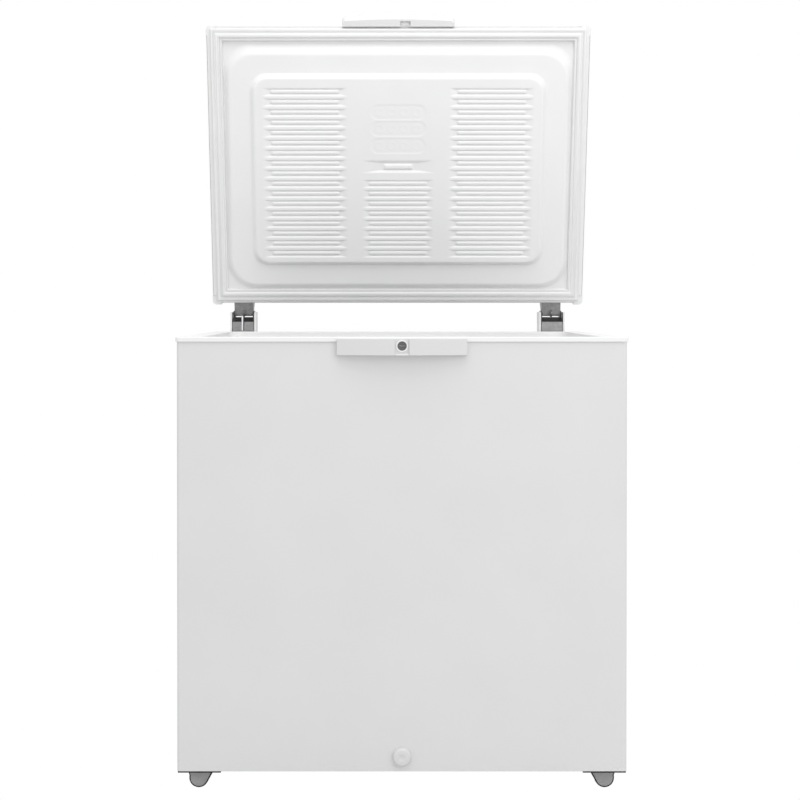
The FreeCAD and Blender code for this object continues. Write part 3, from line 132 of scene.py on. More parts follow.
def raised(tree, shader, *layers, edge=0.0):
    """Bumps the surface by each (height, depth in metres), over softly rounded edges."""
    normal = None
    if edge:
        round_edge = tree.nodes.new("ShaderNodeBevel")
        round_edge.samples = BEVEL_SAMPLES
        round_edge.inputs["Radius"].default_value = edge
        normal = round_edge.outputs["Normal"]
    for height, depth in layers:
        node = tree.nodes.new("ShaderNodeBump")
        node.inputs["Distance"].default_value = depth
        tree.links.new(height, node.inputs["Height"])
        if normal is not None:
            tree.links.new(normal, node.inputs["Normal"])
        normal = node.outputs["Normal"]
    tree.links.new(normal, shader.inputs["Normal"])


def shade(colour, factor):
    return tuple(min(1.0, c * factor) for c in colour)


def moulded(name, colour, rough, grain=450.0, depth=0.00003, spread=0.04, tone=0.012, patch=7.0,
            edge=0.0, **sockets):
    """Paint or plastic: a broad drift of tone, uneven gloss and a fine grain."""
    material, tree, shader = new_material(name, rough, **sockets)
    drift = noise(tree, patch, 4.0)
    darker, lighter = shade(colour, 1 - tone), shade(colour, 1 + tone)
    tree.links.new(ramp(tree, drift, (0.3, darker), (0.7, lighter)), shader.inputs["Base Color"])
    gloss = noise(tree, patch * 6, 5.0)
    tree.links.new(ramp(tree, gloss, (0.3, rough - spread), (0.7, rough + spread)),
                   shader.inputs["Roughness"])
    raised(tree, shader, (noise(tree, grain, 2.0), depth), edge=edge)
    return material


# ---- finishes ------------------------------------------------------------------------------

def zinc():
    """Galvanised sheet: faint crystals a few millimetres wide under a dull grey film."""
    material, tree, shader = new_material("galvanised_steel", 0.5, 0.75)
    crystals = 160.0
    spangle = cells(tree, crystals)
    tree.links.new(ramp(tree, spangle, (0.1, 0.3), (0.9, 0.37)), shader.inputs["Base Color"])
    tree.links.new(ramp(tree, cells(tree, crystals, "Distance"), (0.0, 0.54), (0.8, 0.42)),
                   shader.inputs["Roughness"])
    raised(tree, shader, (noise(tree, 900.0), 0.00002))
    return material


def embossed_aluminium():
    """The tub's liner: aluminium sheet rolled with a pebbled pattern."""
    material, tree, shader = new_material("liner_metal", 0.36, 1.0)
    drift = noise(tree, 5.0, 4.0)
    tree.links.new(ramp(tree, drift, (0.3, (0.72, 0.73, 0.74)), (0.7, (0.82, 0.83, 0.84))),
                   shader.inputs["Base Color"])
    tree.links.new(ramp(tree, noise(tree, 40.0), (0.3, 0.3), (0.7, 0.42)),
                   shader.inputs["Roughness"])
    raised(tree, shader, (cells(tree, 170.0, "Distance", "SMOOTH_F1"), 0.0007),
           (noise(tree, 700.0), 0.00002))
    return material


def polyurethane():
    """Insulating foam: a yellow drift of tone over small closed cells."""
    material, tree, shader = new_material("foam", 0.9)
    drift = noise(tree, 60.0, 6.0)
    tree.links.new(ramp(tree, drift, (0.3, (0.66, 0.53, 0.3)), (0.7, (0.82, 0.71, 0.46))),
                   shader.inputs["Base Color"])
    raised(tree, shader, (cells(tree, 350.0, "Distance"), 0.0006))
    return material


def drawn_metal(name, dark, light, rough, metal=1.0):
    """Drawn tube, wire and turned pins: fine lines and a drift of tone."""
    material, tree, shader = new_material(name, rough, metal)
    tree.links.new(ramp(tree, noise(tree, 45.0, 5.0), (0.3, dark), (0.7, light)),
                   shader.inputs["Base Color"])
    glossy, dull = rough * 0.75, min(1.0, rough * 1.3)
    tree.links.new(ramp(tree, noise(tree, 160.0), (0.3, glossy), (0.7, dull)),
                   shader.inputs["Roughness"])
    lines = noise(tree, 500.0, 3.0, stretched(tree, (1.0, 1.0, 0.2)))
    raised(tree, shader, (lines, 0.00003))
    return material


def lamps():
    """Green over red, with faint ribs in the lens."""
    material, tree, shader = new_material("lamp_lens", 0.12, Specular_IOR_Level=0.6)
    split = tree.nodes.new("ShaderNodeSeparateXYZ")
    tree.links.new(place(tree), split.inputs[0])
    low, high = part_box("indicator_lamps")
    upper = maths(tree, "GREATER_THAN", split.outputs["Z"], (low.z + high.z) / 2)
    hue = ramp(tree, upper, (0.0, (0.5, 0.03, 0.02)), (1.0, (0.03, 0.4, 0.08)))
    speck = ramp(tree, noise(tree, 900.0), (0.3, 0.8), (0.7, 1.0))
    mix = tree.nodes.new("ShaderNodeMix")
    mix.data_type, mix.blend_type = "RGBA", "MULTIPLY"
    mix.inputs["Factor"].default_value = 1.0
    tree.links.new(hue, mix.inputs["A"])
    tree.links.new(speck, mix.inputs["B"])
    tree.links.new(mix.outputs["Result"], shader.inputs["Base Color"])
    wave = tree.nodes.new("ShaderNodeTexWave")
    wave.bands_direction = "Z"
    wave.inputs["Scale"].default_value = 300.0
    tree.links.new(place(tree), wave.inputs["Vector"])
    raised(tree, shader, (wave.outputs["Fac"], 0.0001))
    return material


WHITE_PAINT = (0.72, 0.72, 0.72)
WHITE_PLASTIC = (0.86, 0.86, 0.86)
TRIM_WHITE = (0.69, 0.69, 0.69)
# The handle's white: the white plastic made greyer as painted shade, for the handle's underside
# that the open lid turns to the camera.
HANDLE_PAINTED_SHADE_WHITE = (0.76, 0.76, 0.76)
SOFT_EDGE = 0.0008      # metres

finishes = {
    "painted_white": moulded("painted_white", WHITE_PAINT, 0.36, grain=330.0, depth=0.00004,
                             edge=SOFT_EDGE),
    "white_plastic": moulded("white_plastic", WHITE_PLASTIC, 0.4, grain=800.0, edge=SOFT_EDGE),
    "trim_white": moulded("trim_white", TRIM_WHITE, 0.42, grain=800.0, edge=SOFT_EDGE),
    "handle_painted_shade_white": moulded("handle_painted_shade_white", HANDLE_PAINTED_SHADE_WHITE, 0.42, grain=800.0, edge=SOFT_EDGE),
    "liner_metal": embossed_aluminium(),
    "galvanised_steel": zinc(),
    "gasket_vinyl": moulded("gasket_vinyl", (0.82, 0.82, 0.82), 0.5, grain=1200.0, tone=0.02),
    "foam": polyurethane(),
    "black_steel": moulded("black_steel", (0.012, 0.012, 0.012), 0.6, grain=500.0, tone=0.3,
                           Specular_IOR_Level=0.15),
    "black_plastic": moulded("black_plastic", (0.018, 0.018, 0.018), 0.5, grain=900.0, tone=0.25),
    "grey_plastic": moulded("grey_plastic", (0.24, 0.24, 0.245), 0.45, grain=900.0, tone=0.06),
    "wheel_grey": moulded("wheel_grey", (0.42, 0.42, 0.42), 0.55, grain=900.0, tone=0.06,
                          patch=30.0, Specular_IOR_Level=0.3),
    "rubber_black": moulded("rubber_black", (0.014, 0.014, 0.014), 0.8, grain=700.0,
                            depth=0.00008, tone=0.4, patch=60.0, Specular_IOR_Level=0.15),
    "copper": drawn_metal("copper", (0.45, 0.2, 0.11), (0.8, 0.42, 0.26), 0.3),
    "tube_steel": drawn_metal("tube_steel", (0.05, 0.05, 0.05), (0.09, 0.09, 0.09), 0.45, 0.4),
    "tube_aluminium": drawn_metal("tube_aluminium", (0.6, 0.61, 0.62), (0.76, 0.77, 0.78), 0.34),
    "dark_metal": drawn_metal("dark_metal", (0.1, 0.1, 0.1), (0.17, 0.17, 0.17), 0.4, 0.6),
    "steel_pin": drawn_metal("steel_pin", (0.42, 0.42, 0.43), (0.6, 0.6, 0.6), 0.3),
    "coated_wire": moulded("coated_wire", (0.84, 0.84, 0.83), 0.25, grain=1500.0, patch=30.0,
                           tone=0.03),
    "lamp_lens": lamps(),
}


def dress(piece, material):
    piece.data.materials.clear()
    piece.data.materials.append(material)


# Imported pieces whose white is a little greyer than their slot's; the lid handle's greyer white
# is painted shade for its underside, turned to the camera with the lid open.
TONED = {"lock_housing": "trim_white", "lid_handle": "handle_painted_shade_white"}
for name, piece in nodes.items():
    dress(piece, finishes[TONED.get(name, slot_of[name])])


# ---- mesh helpers --------------------------------------------------------------------------


def new_piece(name, points, faces, slot, body, smooth=True, sharp=None):
    """A mesh piece, its points in metres, that rides on a body."""
    mesh = bpy.data.meshes.new(name)
    mesh.from_pydata([tuple(p) for p in points], [], [tuple(int(i) for i in f) for f in faces])
    mesh.validate()
    mesh.polygons.foreach_set("use_smooth", [smooth] * len(mesh.polygons))
    if sharp is not None:
        mesh.set_sharp_from_angle(angle=math.radians(sharp))
    piece = bpy.data.objects.new(name, mesh)
    bpy.context.scene.collection.objects.link(piece)
    dress(piece, finishes[slot])
    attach(piece, body)
    return piece


def smooth_step(t):
    t = np.clip(t, 0.0, 1.0)
    return t * t * (3 - 2 * t)


# ---- the lid's own frame -------------------------------------------------------------------

lid_joint = next(j for j in record["behaviour"]["joints"] if j["name"] == "lid_hinge")
PIVOT = Vector(lid_joint["pos_m"])
OPEN = math.radians(-lid_joint["range_deg"][0])
# From the pivot to the lid's rear edge and to its underside, with the lid closed.
SHELL_BACK, UNDER = 32.0, 24.0


def on_lid(x, v, h):
    """Points of the open lid: x across, v from its rear edge and h off its underside, in mm."""
    dy, dz = -(SHELL_BACK + v), -(UNDER + h)
    y = dy * math.cos(OPEN) + dz * math.sin(OPEN)
    z = -dy * math.sin(OPEN) + dz * math.cos(OPEN)
    return np.stack([x * MM + 0 * y, PIVOT.y + y * MM, PIVOT.z + z * MM], axis=-1)


# ---- lid liner -----------------------------------------------------------------------------

LINER_X, LINER_V = 400.8, (1.0, 587.0)      # half width, and the two ends
CAP_X, CAP_V = 383.4, (15.6, 570.0)         # where the corner caps cut it away
GRID_X, GRID_V = 2.4, 1.15
LINER_SHEET = 1.0


def inside(x, v, half, low, high, corner):
    """How far a point is inside a rounded rectangle, negative outside it."""
    over_x = np.abs(x) - (half - corner)
    over_v = np.abs(v - (low + high) / 2) - ((high - low) / 2 - corner)
    out = np.hypot(np.maximum(over_x, 0), np.maximum(over_v, 0))
    return corner - out - np.minimum(np.maximum(over_x, over_v), 0)


def step_up(x, v, height, base, top):
    """A smooth rise from a base outline to a smaller top outline."""
    past = np.maximum(inside(x, v, *base), 0)
    short = np.maximum(-inside(x, v, *top), 0)
    return height * smooth_step(past / np.maximum(past + short, 1e-6))


POCKET_EASE, BAR_CORNER = 0.35, 2.5


def pocket(x, v, half, taper, high, deep, slope=0.8):
    """A straight-sided recess whose depth runs out towards its ends."""
    depth = deep * smooth_step((half - np.abs(x)) / taper)
    wall = np.maximum(high / 2 - np.abs(v), 0) * slope
    low = np.minimum(depth, wall)
    blend = np.maximum(POCKET_EASE - np.abs(depth - wall), 0) ** 2 / (4 * POCKET_EASE)
    return -np.maximum(low - blend, 0)


def bar(x, v, half, high, rise, ease=2.4):
    """A rounded bar."""
    edge = inside(x, v, half, -high / 2, high / 2, min(high / 2, BAR_CORNER))
    return rise * smooth_step(edge / ease)


def pill(x, v, half, high, deep, ease):
    """A shallow recess with round ends."""
    edge = inside(x, v, half, -high / 2, high / 2, high / 2 - 0.1)
    return -deep * smooth_step(edge / ease)


# Each rise: its height, then its base and its top, as half width, low v, high v and corner.
RISES = ((10.0, (368, 33, 554.5, 57), (354, 44.8, 528.2, 51)),
         (9.0, (312, 84.6, 492.8, 34), (302.5, 93.8, 480.2, 30)))
ROW_FIRST, ROW_STEP, SIDE_ROWS, MIDDLE_ROWS = 111.7, 21.4, 17, 8
SIDE_COLUMN = 196.6
# Pockets as half width, taper, height, depth and slope; bars as half width, height and rise.
SIDE_POCKET, SIDE_BAR = (91, 20, 16.4, 2.4), (72.5, 8.4, 2.2)
MIDDLE_POCKET, MIDDLE_BAR = (76.6, 17, 16.4, 1.9), (61.7, 8.4, 1.7)
BAR_OFF = 0.6       # from its pocket's middle
PLATE_V, PLATE_POCKET = 298, (81.6, 48, 26, 2.5, 0.5)
PLATE_BAR_V, PLATE_BAR = 297.5, (31, 13, 2.4, 4.0)
PILL_ROWS, PILL = (341.8, 377.7, 412.0), (59, 33, 0.45, 2.2)
RINGS, RING_STEP, RING_OUT, RING_IN, RING_EASE, RING_RISE = 4, 26, 9.5, 5.5, 1.6, 0.22


def relief(x, v):
    """The liner's height off the lid's underside."""
    h = sum(step_up(x, v, *rise) for rise in RISES)
    for row in range(SIDE_ROWS):
        centre = ROW_FIRST + row * ROW_STEP
        for side in (-SIDE_COLUMN, SIDE_COLUMN):
            h += pocket(x - side, v - centre, *SIDE_POCKET)
            h += bar(x - side, v - centre - BAR_OFF, *SIDE_BAR)
        if row < MIDDLE_ROWS:
            h += pocket(x, v - centre, *MIDDLE_POCKET)
            h += bar(x, v - centre - BAR_OFF, *MIDDLE_BAR)
    h += pocket(x, v - PLATE_V, *PLATE_POCKET)
    h += bar(x, v - PLATE_BAR_V, *PLATE_BAR)
    for centre in PILL_ROWS:
        h += pill(x, v - centre, *PILL)
        for i in range(RINGS):
            away = np.hypot(x - (i - (RINGS - 1) / 2) * RING_STEP, v - centre)
            h += (RING_RISE * smooth_step((RING_OUT - away) / RING_EASE)
                  * smooth_step((away - RING_IN) / RING_EASE))
    return h


def fine_lines(low, high, pitch, *wanted):
    """Grid lines at an even pitch, with the wanted ones moved in exactly."""
    lines = np.linspace(low, high, int(round((high - low) / pitch)) + 1)
    for line in wanted:
        lines[np.argmin(np.abs(lines - line))] = line
    return lines


def lid_liner():
    """The moulded sheet under the lid, as a grid of points without the corner caps' squares."""
    xs = fine_lines(-LINER_X, LINER_X, GRID_X, -CAP_X, CAP_X)
    vs = fine_lines(*LINER_V, GRID_V, *CAP_V)
    x, v = np.meshgrid(xs, vs)
    h = relief(x, v)
    points = on_lid(x, v, h).reshape(-1, 3)
    wide = len(xs)
    a = (np.arange(len(vs) - 1)[:, None] * wide + np.arange(wide - 1)).ravel()
    faces = np.stack([a, a + wide, a + wide + 1, a + 1], axis=1)
    mid_x = (x[:-1, :-1] + x[1:, 1:]).ravel() / 2
    mid_v = (v[:-1, :-1] + v[1:, 1:]).ravel() / 2
    corner = (np.abs(mid_x) > CAP_X) & ((mid_v < CAP_V[0]) | (mid_v > CAP_V[1]))
    faces = faces[~corner]
    used, faces = np.unique(faces, return_inverse=True)
    piece = new_piece("lid_liner_moulding", points[used], faces.reshape(-1, 4),
                      "white_plastic", "lid")
    sheet = piece.modifiers.new("sheet", "SOLIDIFY")
    sheet.thickness = LINER_SHEET * MM
    sheet.offset = -1.0
    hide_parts("lid_liner")


lid_liner()


# ---- lid gasket ----------------------------------------------------------------------------

GASKET_X, GASKET_V = 393.0, (6.0, 584.0)
# The magnetic seal's section, from its outer edge inwards: across it, and off the lid.
GASKET = ((0.0, 0.1), (0.0, 5.6), (0.5, 7.2), (1.6, 8.4), (3.2, 8.8), (5.0, 8.3), (6.6, 7.1),
          (7.8, 6.6), (9.0, 7.4), (10.6, 9.6), (12.4, 11.1), (14.4, 11.6), (16.4, 11.2),
          (18.2, 9.6), (19.4, 7.8), (20.4, 7.1), (21.4, 7.6), (22.6, 8.4), (23.8, 8.0),
          (24.6, 6.2), (25.0, 3.4), (25.0, 0.1))


def lid_gasket():
    """The seal's section, carried round the lid with mitred corners."""
    points, faces = [], []
    count = len(GASKET)
    corners = ((-1, 0), (1, 0), (1, 1), (-1, 1))
    for side, end in corners:
        for across, off in GASKET:
            v = GASKET_V[end] + (across if end == 0 else -across)
            points.append(on_lid(np.float64(side * (GASKET_X - across)), v, off))
    for corner in range(4):
        here, there = corner * count, (corner + 1) % 4 * count
        for i in range(count):
            j = (i + 1) % count
            faces.append((here + i, there + i, there + j, here + j))
    piece = new_piece("lid_gasket_profile", points, faces, "gasket_vinyl", "lid", sharp=50)
    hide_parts("lid_gasket")


lid_gasket()


# ---- wire basket ---------------------------------------------------------------------------

WIRE_SIDES, CORNER_STEPS = 8, 5


def tube(name, lines, slot, body):
    """Round wires in one piece, each a list of points in metres and a radius in mm."""
    sides = WIRE_SIDES
    points, faces = [], []
    for path, radius in lines:
        path = [Vector(p) for p in path]
        closed = (path[0] - path[-1]).length < 1e-6
        if closed:
            path = path[:-1]
        count, start = len(path), len(points)
        normal = None
        for i, point in enumerate(path):
            before = path[i - 1] if i or closed else point
            after = path[(i + 1) % count] if i < count - 1 or closed else point
            along = (after - before).normalized()
            if normal is None:
                normal = along.orthogonal().normalized()
            normal = (normal - along * normal.dot(along)).normalized()
            other = along.cross(normal)
            for turn in range(sides):
                angle = 2 * math.pi * turn / sides
                reach = normal * math.cos(angle) + other * math.sin(angle)
                points.append(point + reach * radius * MM)
        for i in range(count if closed else count - 1):
            here, there = start + i * sides, start + (i + 1) % count * sides
            for turn in range(sides):
                other = (turn + 1) % sides
                faces.append((here + turn, here + other, there + other, there + turn))
        if not closed:
            last = start + (count - 1) * sides
            faces.append(tuple(start + turn for turn in range(sides))[::-1])
            faces.append(tuple(last + turn for turn in range(sides)))
    return new_piece(name, points, faces, slot, body)


def rounded_loop(left, right, front, rear, z, corner):
    """A level rounded rectangle of wire, in metres."""
    loop = []
    for cx, cy, start in ((right - corner, rear - corner, 0),
                          (left + corner, rear - corner, 90),
                          (left + corner, front + corner, 180),
                          (right - corner, front + corner, 270)):
        for i in range(CORNER_STEPS + 1):
            angle = math.radians(start + 90 * i / CORNER_STEPS)
            loop.append((cx + corner * math.cos(angle), cy + corner * math.sin(angle), z))
    return loop + loop[:1]


def cradle(near, far, top, bottom):
    """A bent wire's path down one wall, across the floor and up the other wall."""
    cut = 0.3 * BEND
    return [(near, top), (near, bottom + BEND), (near + cut, bottom + cut), (near + BEND, bottom),
            (far - BEND, bottom), (far - cut, bottom + cut), (far, bottom + BEND), (far, top)]


BEND = 9 * MM
RAIL_IN, WIRE_IN, HOOK_IN = 2.5 * MM, 1.5 * MM, 19.1 * MM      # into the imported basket's box
LOOP_LEVELS = (0.0, 0.17, 0.36, 0.58, 0.8)                     # shares of the way down
LOOP_DROP, ACROSS_DROP = 6 * MM, 4 * MM
BAYS_ACROSS, BAYS_ALONG = 8, 17
LOOP_CORNER, RAIL_CORNER = 7 * MM, 6 * MM
LOOP_RADIUS, WIRE_RADIUS, RAIL_RADIUS = 1.5, 1.3, 2.45


def wire_basket():
    """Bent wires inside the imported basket's walls, its rim and its hooks."""
    low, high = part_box("storage_basket")
    left, right = low.x + RAIL_IN, high.x - RAIL_IN
    front, rear = low.y + HOOK_IN, high.y - HOOK_IN
    top, bottom = high.z - RAIL_IN, low.z + WIRE_IN
    lines = []
    for level in LOOP_LEVELS:
        z = top - LOOP_DROP - (top - bottom - LOOP_DROP) * level
        lines.append((rounded_loop(left, right, front, rear, z, LOOP_CORNER), LOOP_RADIUS))
    for i in range(1, BAYS_ACROSS):
        x = left + (right - left) * i / BAYS_ACROSS
        path = cradle(front, rear, top - ACROSS_DROP, bottom)
        lines.append(([(x, y, z) for y, z in path], WIRE_RADIUS))
    for i in range(1, BAYS_ALONG):
        y = front + (rear - front) * i / BAYS_ALONG
        path = cradle(left, right, top, bottom)
        lines.append(([(x, y, z) for x, z in path], WIRE_RADIUS))
    rail = rounded_loop(left, right, low.y + RAIL_IN, high.y - RAIL_IN, top, RAIL_CORNER)
    lines.append((rail, RAIL_RADIUS))
    piece = tube("basket_wires", lines, "coated_wire", "basket")
    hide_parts("storage_basket")


wire_basket()


# ---- turned and cut pieces -----------------------------------------------------------------

def turned(name, rings, centre, slot, body, steps=56):
    """Closed sections turned about the Y axis, each a list of (radius, y) from a centre."""
    points, faces = [], []
    for ring in rings:
        count, start = len(ring), len(points)
        area = sum(a[0] * b[1] - b[0] * a[1] for a, b in zip(ring, ring[1:] + ring[:1]))
        for turn in range(steps):
            angle = 2 * math.pi * turn / steps
            points += [(centre.x + r * MM * math.cos(angle), centre.y + y * MM,
                        centre.z + r * MM * math.sin(angle)) for r, y in ring]
        for turn in range(steps):
            here = start + turn * count
            there = start + (turn + 1) % steps * count
            for i in range(count):
                j = (i + 1) % count
                quad = (here + i, there + i, there + j, here + j)
                faces.append(quad if area > 0 else quad[::-1])
    return new_piece(name, points, faces, slot, body, sharp=40)


def slab(name, outline, near, far, slot, body, edge):
    """A plate cut to an outline of (x, z), between two depths along Y, its edges rounded."""
    count = len(outline)
    points = [(x * MM, y * MM, z * MM) for y in (near, far) for x, z in outline]
    faces = [tuple(range(count)), tuple(range(2 * count - 1, count - 1, -1))]
    faces += [(i, count + i, count + (i + 1) % count, (i + 1) % count) for i in range(count)]
    piece = new_piece(name, points, faces, slot, body, smooth=False)
    bevel = piece.modifiers.new("edges", "BEVEL")
    bevel.width, bevel.segments, bevel.limit_method = edge * MM, 2, "ANGLE"
    return piece


ARC_STEPS = 14


def arc(x, z, radius, stop):
    """Points round an arc from its right end to an angle in degrees."""
    turns = [math.radians(stop * i / ARC_STEPS) for i in range(ARC_STEPS + 1)]
    return [(x + radius * math.cos(t), z + radius * math.sin(t)) for t in turns]


# ---- casters -------------------------------------------------------------------------------

# Each half wheel is a grey dished disc with a black tyre round it, as (radius, depth from its
# outer face).
DISC = ((3.06, 8.9), (3.06, 2.2), (4.2, 0.75), (5.2, 0.1), (8.0, 0.2), (10.5, 0.6), (12.6, 1.2),
        (13.8, 1.9), (14.4, 2.6), (14.4, 7.0), (12.0, 8.0), (6.0, 8.4), (5.2, 8.9))
TYRE = ((14.45, 2.4), (15.2, 1.6), (16.2, 1.4), (17.0, 2.0), (17.4, 3.2), (17.5, 4.6),
        (17.4, 6.4), (16.9, 7.4), (16.0, 7.9), (14.45, 7.8))
# The fork's cheek, in two sheets: a black one and a smaller grey one over it. Each has its part,
# slot and radius, and how far its top reaches outwards and inwards from the axle.
CHEEK_SHEETS = (("cheek", "black_plastic", 16.9, 20.4, 29.0),
                ("hood", "wheel_grey", 14.6, 19.0, 25.2))
CHEEK_GAP, CHEEK_SHEET, CHEEK_EDGE = 2.1, 0.45, 0.15
CHEEK_SIDE, CHEEK_TURN = 5.0, -157      # its side's foot over the axle, and the arc's degrees
PLATE_UNDER = 34.5                      # the caster plate's underside over the floor


def caster(end, side):
    """Two half wheels that turn, and the cheek on the cabinet's own fork."""
    corner = f"{end}_{side}"
    node = "caster_wheel_" + corner
    low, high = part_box(node)
    centre = (low + high) / 2
    half = (high.y - low.y) / 2 / MM
    for part, outline, slot in (("disc", DISC, "wheel_grey"), ("tyre", TYRE, "rubber_black")):
        rings = [[(r, sign * (half - y)) for r, y in outline] for sign in (-1, 1)]
        piece = turned(f"caster_{part}_{corner}", rings, centre, slot, "wheel_" + corner)
        if part == "disc":
            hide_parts(node)
    out = 1 if side == "right" else -1
    way = -1 if end == "front" else 1
    cx, cz = centre.x / MM, centre.z / MM
    face = centre.y / MM + way * (half + CHEEK_GAP)
    away = way * CHEEK_SHEET
    for layer, (part, slot, radius, outer, inner) in enumerate(CHEEK_SHEETS):
        outline = [(cx + out * outer, PLATE_UNDER), (cx + out * (radius - 0.2), cz + CHEEK_SIDE)]
        outline += [(cx + out * (x - cx), z) for x, z in arc(cx, cz, radius, CHEEK_TURN)]
        outline.append((cx - out * inner, PLATE_UNDER))
        near, far = sorted((face + layer * away, face + (layer + 1) * away))
        if out > 0:
            outline = outline[::-1]
        slab(f"caster_{part}_{corner}", outline, near, far, slot, "cabinet", CHEEK_EDGE)


for end in ("front", "rear"):
    for side in ("left", "right"):
        caster(end, side)


# ---- drain cap, strike and hinge strips ----------------------------------------------------

# The cap's section as (radius, depth): its face from the front, then its skirt and stem from
# the skirt's end.
CAP_FACE = ((0.01, 1.2), (2.2, 1.1), (4.6, 0.7), (5.8, 0.25), (6.6, 0.1), (7.4, 0.1), (12.8, 0.1),
            (13.5, 0.35), (15.4, 2.6), (16.0, 3.6))
CAP_SKIRT, CAP_STEM = 9, ((16.0, -0.05), (6.9, -0.05), (6.9, 14), (0.01, 14))
CAP_STEPS = 72


def drain_cap():
    """A round push-in cap with a chamfered rim and a shallow dimple."""
    low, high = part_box("drain_cap")
    centre = Vector(((low.x + high.x) / 2, 0.0, (low.z + high.z) / 2))
    face = low.y / MM
    back = face + CAP_SKIRT
    section = [(r, face + y) for r, y in CAP_FACE] + [(r, back + y) for r, y in CAP_STEM]
    piece = turned("drain_cap_turned", [section], centre, "trim_white", "front_drain_cap",
                   CAP_STEPS)
    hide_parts("drain_cap")


drain_cap()


STRIKE_X, STRIKE_V, STRIKE_HALF = (4.2, 24.8), 594.2, 4.3
STRIKE_H, STRIKE_SHEET = 2.2, 0.8


def strike_plate():
    """A pale plate behind the slot that the lock's cam turns into."""
    left, right = STRIKE_X
    near, far = STRIKE_V - STRIKE_HALF, STRIKE_V + STRIKE_HALF
    corners = [on_lid(np.float64(x), v, h) for h in (STRIKE_H, STRIKE_H - STRIKE_SHEET)
               for x, v in ((left, near), (right, near), (right, far), (left, far))]
    faces = [(0, 1, 2, 3), (7, 6, 5, 4)]
    faces += [(i, 4 + i, 4 + (i + 1) % 4, (i + 1) % 4) for i in range(4)]
    new_piece("strike_plate", corners, faces, "white_plastic", "lid", smooth=False)


strike_plate()


WEB_BACK = PIVOT.y / MM - 31.0      # just in front of the brackets' webs
# A black strip's outline along a flange's front edge: how far in from the bracket's side, and its
# height over the floor.
FLANGE_BLACK_STRIP = ((0.1, 818.5), (2.3, 818.5), (2.3, 826.5), (1.1, 829.0), (1.1, 831.5), (2.3, 833.5),
               (2.3, 838.5), (0.1, 838.5))
BLACK_STRIP_DEPTHS, BLACK_STRIP_BEVEL = (0.6, 0.1), 0.2
# The spring's hook: each strip's left and right side from the bracket's middle, and its top.
HOOKS = (("hinge_hook_strip", "white_plastic", -3.0, 0.3, 831.2),
         ("hinge_hook_back", "black_plastic", 0.4, 2.4, 827.0))
HOOK_FOOT, HOOK_DEPTHS, HOOK_EDGE = 798.8, (0.7, 0.2), 0.15


def hinge_strips_and_hook():
    """The spring's hook strip on the left hinge, and a black strip along the front edge of each
    flange.
    """
    for side in ("left", "right"):
        low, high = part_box("hinge_bracket_" + side)
        for letter, edge, way in (("a", low.x / MM, 1), ("b", high.x / MM, -1)):
            outline = [(edge + way * reach, z) for reach, z in FLANGE_BLACK_STRIP]
            if way > 0:
                outline = outline[::-1]
            near, far = (WEB_BACK - depth for depth in BLACK_STRIP_DEPTHS)
            slab(f"hinge_black_strip_{side}_{letter}", outline, near, far, "black_plastic", "cabinet",
                 BLACK_STRIP_BEVEL)
    low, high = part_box("hinge_bracket_left")
    middle = (low.x + high.x) / 2 / MM
    for name, slot, left, right, top in HOOKS:
        strip = [(middle + left, top), (middle + right, top), (middle + right, HOOK_FOOT),
                 (middle + left, HOOK_FOOT)]
        near, far = (WEB_BACK - depth for depth in HOOK_DEPTHS)
        slab(name, strip, near, far, slot, "plunger_left", HOOK_EDGE)


hinge_strips_and_hook()


# ---- studio --------------------------------------------------------------------------------

WHITE = (1, 1, 1, 1)
FLOOR_REACH = 14.0      # metres
SKY_STRENGTH = 0.86
# Each softbox: where it stands and aims, in metres, its size and its watts.
SOFTBOXES = (("softbox_top", (0.0, -1.1, 3.0), (0.0, -0.2, 0.8), 1.6, 20.0),
             ("softbox_right", (1.2, -2.0, 1.7), (0.0, 0.2, 1.15), 1.2, 9.0))


def seen_or_lighting(tree, lighting, seen, target):
    """One shader for the light a surface gives, another for what the camera sees of it."""
    mix = tree.nodes.new("ShaderNodeMixShader")
    path = tree.nodes.new("ShaderNodeLightPath")
    tree.links.new(path.outputs["Is Camera Ray"], mix.inputs[0])
    tree.links.new(lighting.outputs[0], mix.inputs[1])
    tree.links.new(seen.outputs[0], mix.inputs[2])
    tree.links.new(mix.outputs[0], target.inputs["Surface"])


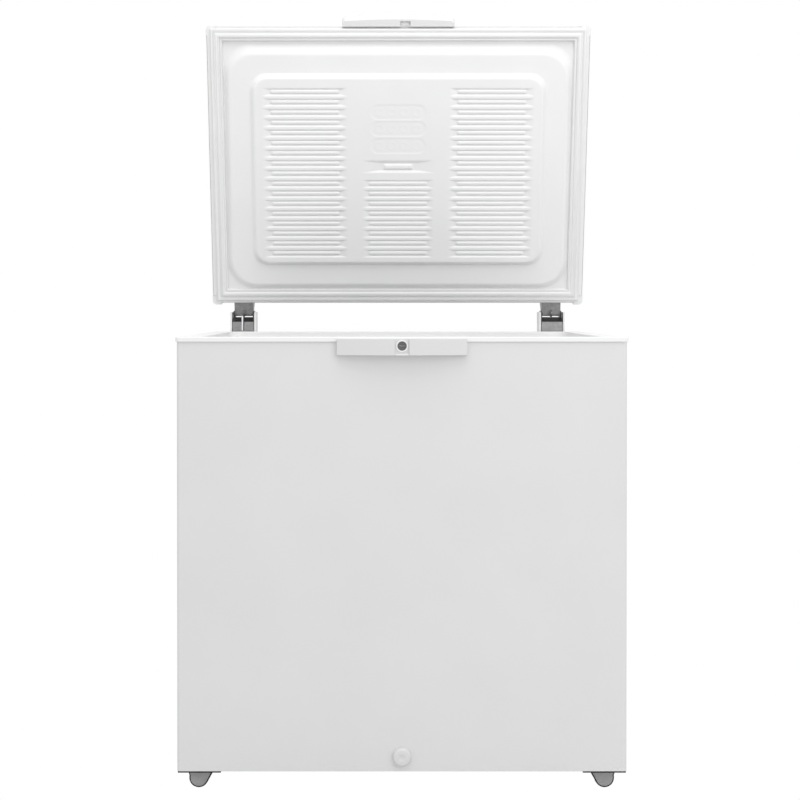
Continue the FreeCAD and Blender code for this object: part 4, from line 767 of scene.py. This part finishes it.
def studio_floor():
    mesh = bpy.data.meshes.new("studio_floor")
    mesh.from_pydata([(x * FLOOR_REACH, y * FLOOR_REACH, 0)
                      for x, y in ((-1, -1), (1, -1), (1, 1), (-1, 1))], [], [(0, 1, 2, 3)])
    floor = bpy.data.objects.new("studio_floor", mesh)
    bpy.context.scene.collection.objects.link(floor)
    material, tree, shader = new_material("studio_floor", 0.9, Specular_IOR_Level=0.0)
    tree.links.new(ramp(tree, noise(tree, 1.5), (0.3, 0.76), (0.7, 0.78)),
                   shader.inputs["Base Color"])
    white = tree.nodes.new("ShaderNodeEmission")
    white.inputs["Color"].default_value = WHITE
    white.inputs["Strength"].default_value = 1.0
    seen_or_lighting(tree, shader, white, tree.nodes["Material Output"])
    floor.data.materials.append(material)


def studio_sky():
    world = bpy.data.worlds.new("studio_sky")
    world.use_nodes = True
    tree = world.node_tree
    tree.nodes.clear()
    seen, light = (tree.nodes.new("ShaderNodeBackground") for _ in range(2))
    seen.inputs["Color"].default_value = WHITE
    light.inputs["Color"].default_value = WHITE
    light.inputs["Strength"].default_value = SKY_STRENGTH
    seen_or_lighting(tree, light, seen, tree.nodes.new("ShaderNodeOutputWorld"))
    bpy.context.scene.world = world


def softboxes():
    for name, spot, aim, size, watts in SOFTBOXES:
        data = bpy.data.lights.new(name, "AREA")
        data.shape, data.size, data.energy = "SQUARE", size, watts
        lamp = bpy.data.objects.new(name, data)
        lamp.location = spot
        lamp.rotation_euler = (Vector(aim) - Vector(spot)).to_track_quat("-Z", "Y").to_euler()
        bpy.context.scene.collection.objects.link(lamp)


EYE, EYE_TILT = (-0.038, -2.6279, 0.8465), 89.57       # metres, and degrees from straight down
LENS, SHIFT_X, SHIFT_Y = 59.85, 0.0248, -0.1016


def camera():
    data = bpy.data.cameras.new("camera")
    data.sensor_width = 36.0
    data.lens = LENS
    data.shift_x, data.shift_y = SHIFT_X, SHIFT_Y
    data.clip_start, data.clip_end = 0.05, 60.0
    eye = bpy.data.objects.new("camera", data)
    eye.location = EYE
    eye.rotation_euler = (math.radians(EYE_TILT), 0.0, 0.0)
    bpy.context.scene.collection.objects.link(eye)
    bpy.context.scene.camera = eye


studio_floor()
studio_sky()
softboxes()
camera()
bpy.context.scene.view_settings.view_transform = "Standard"
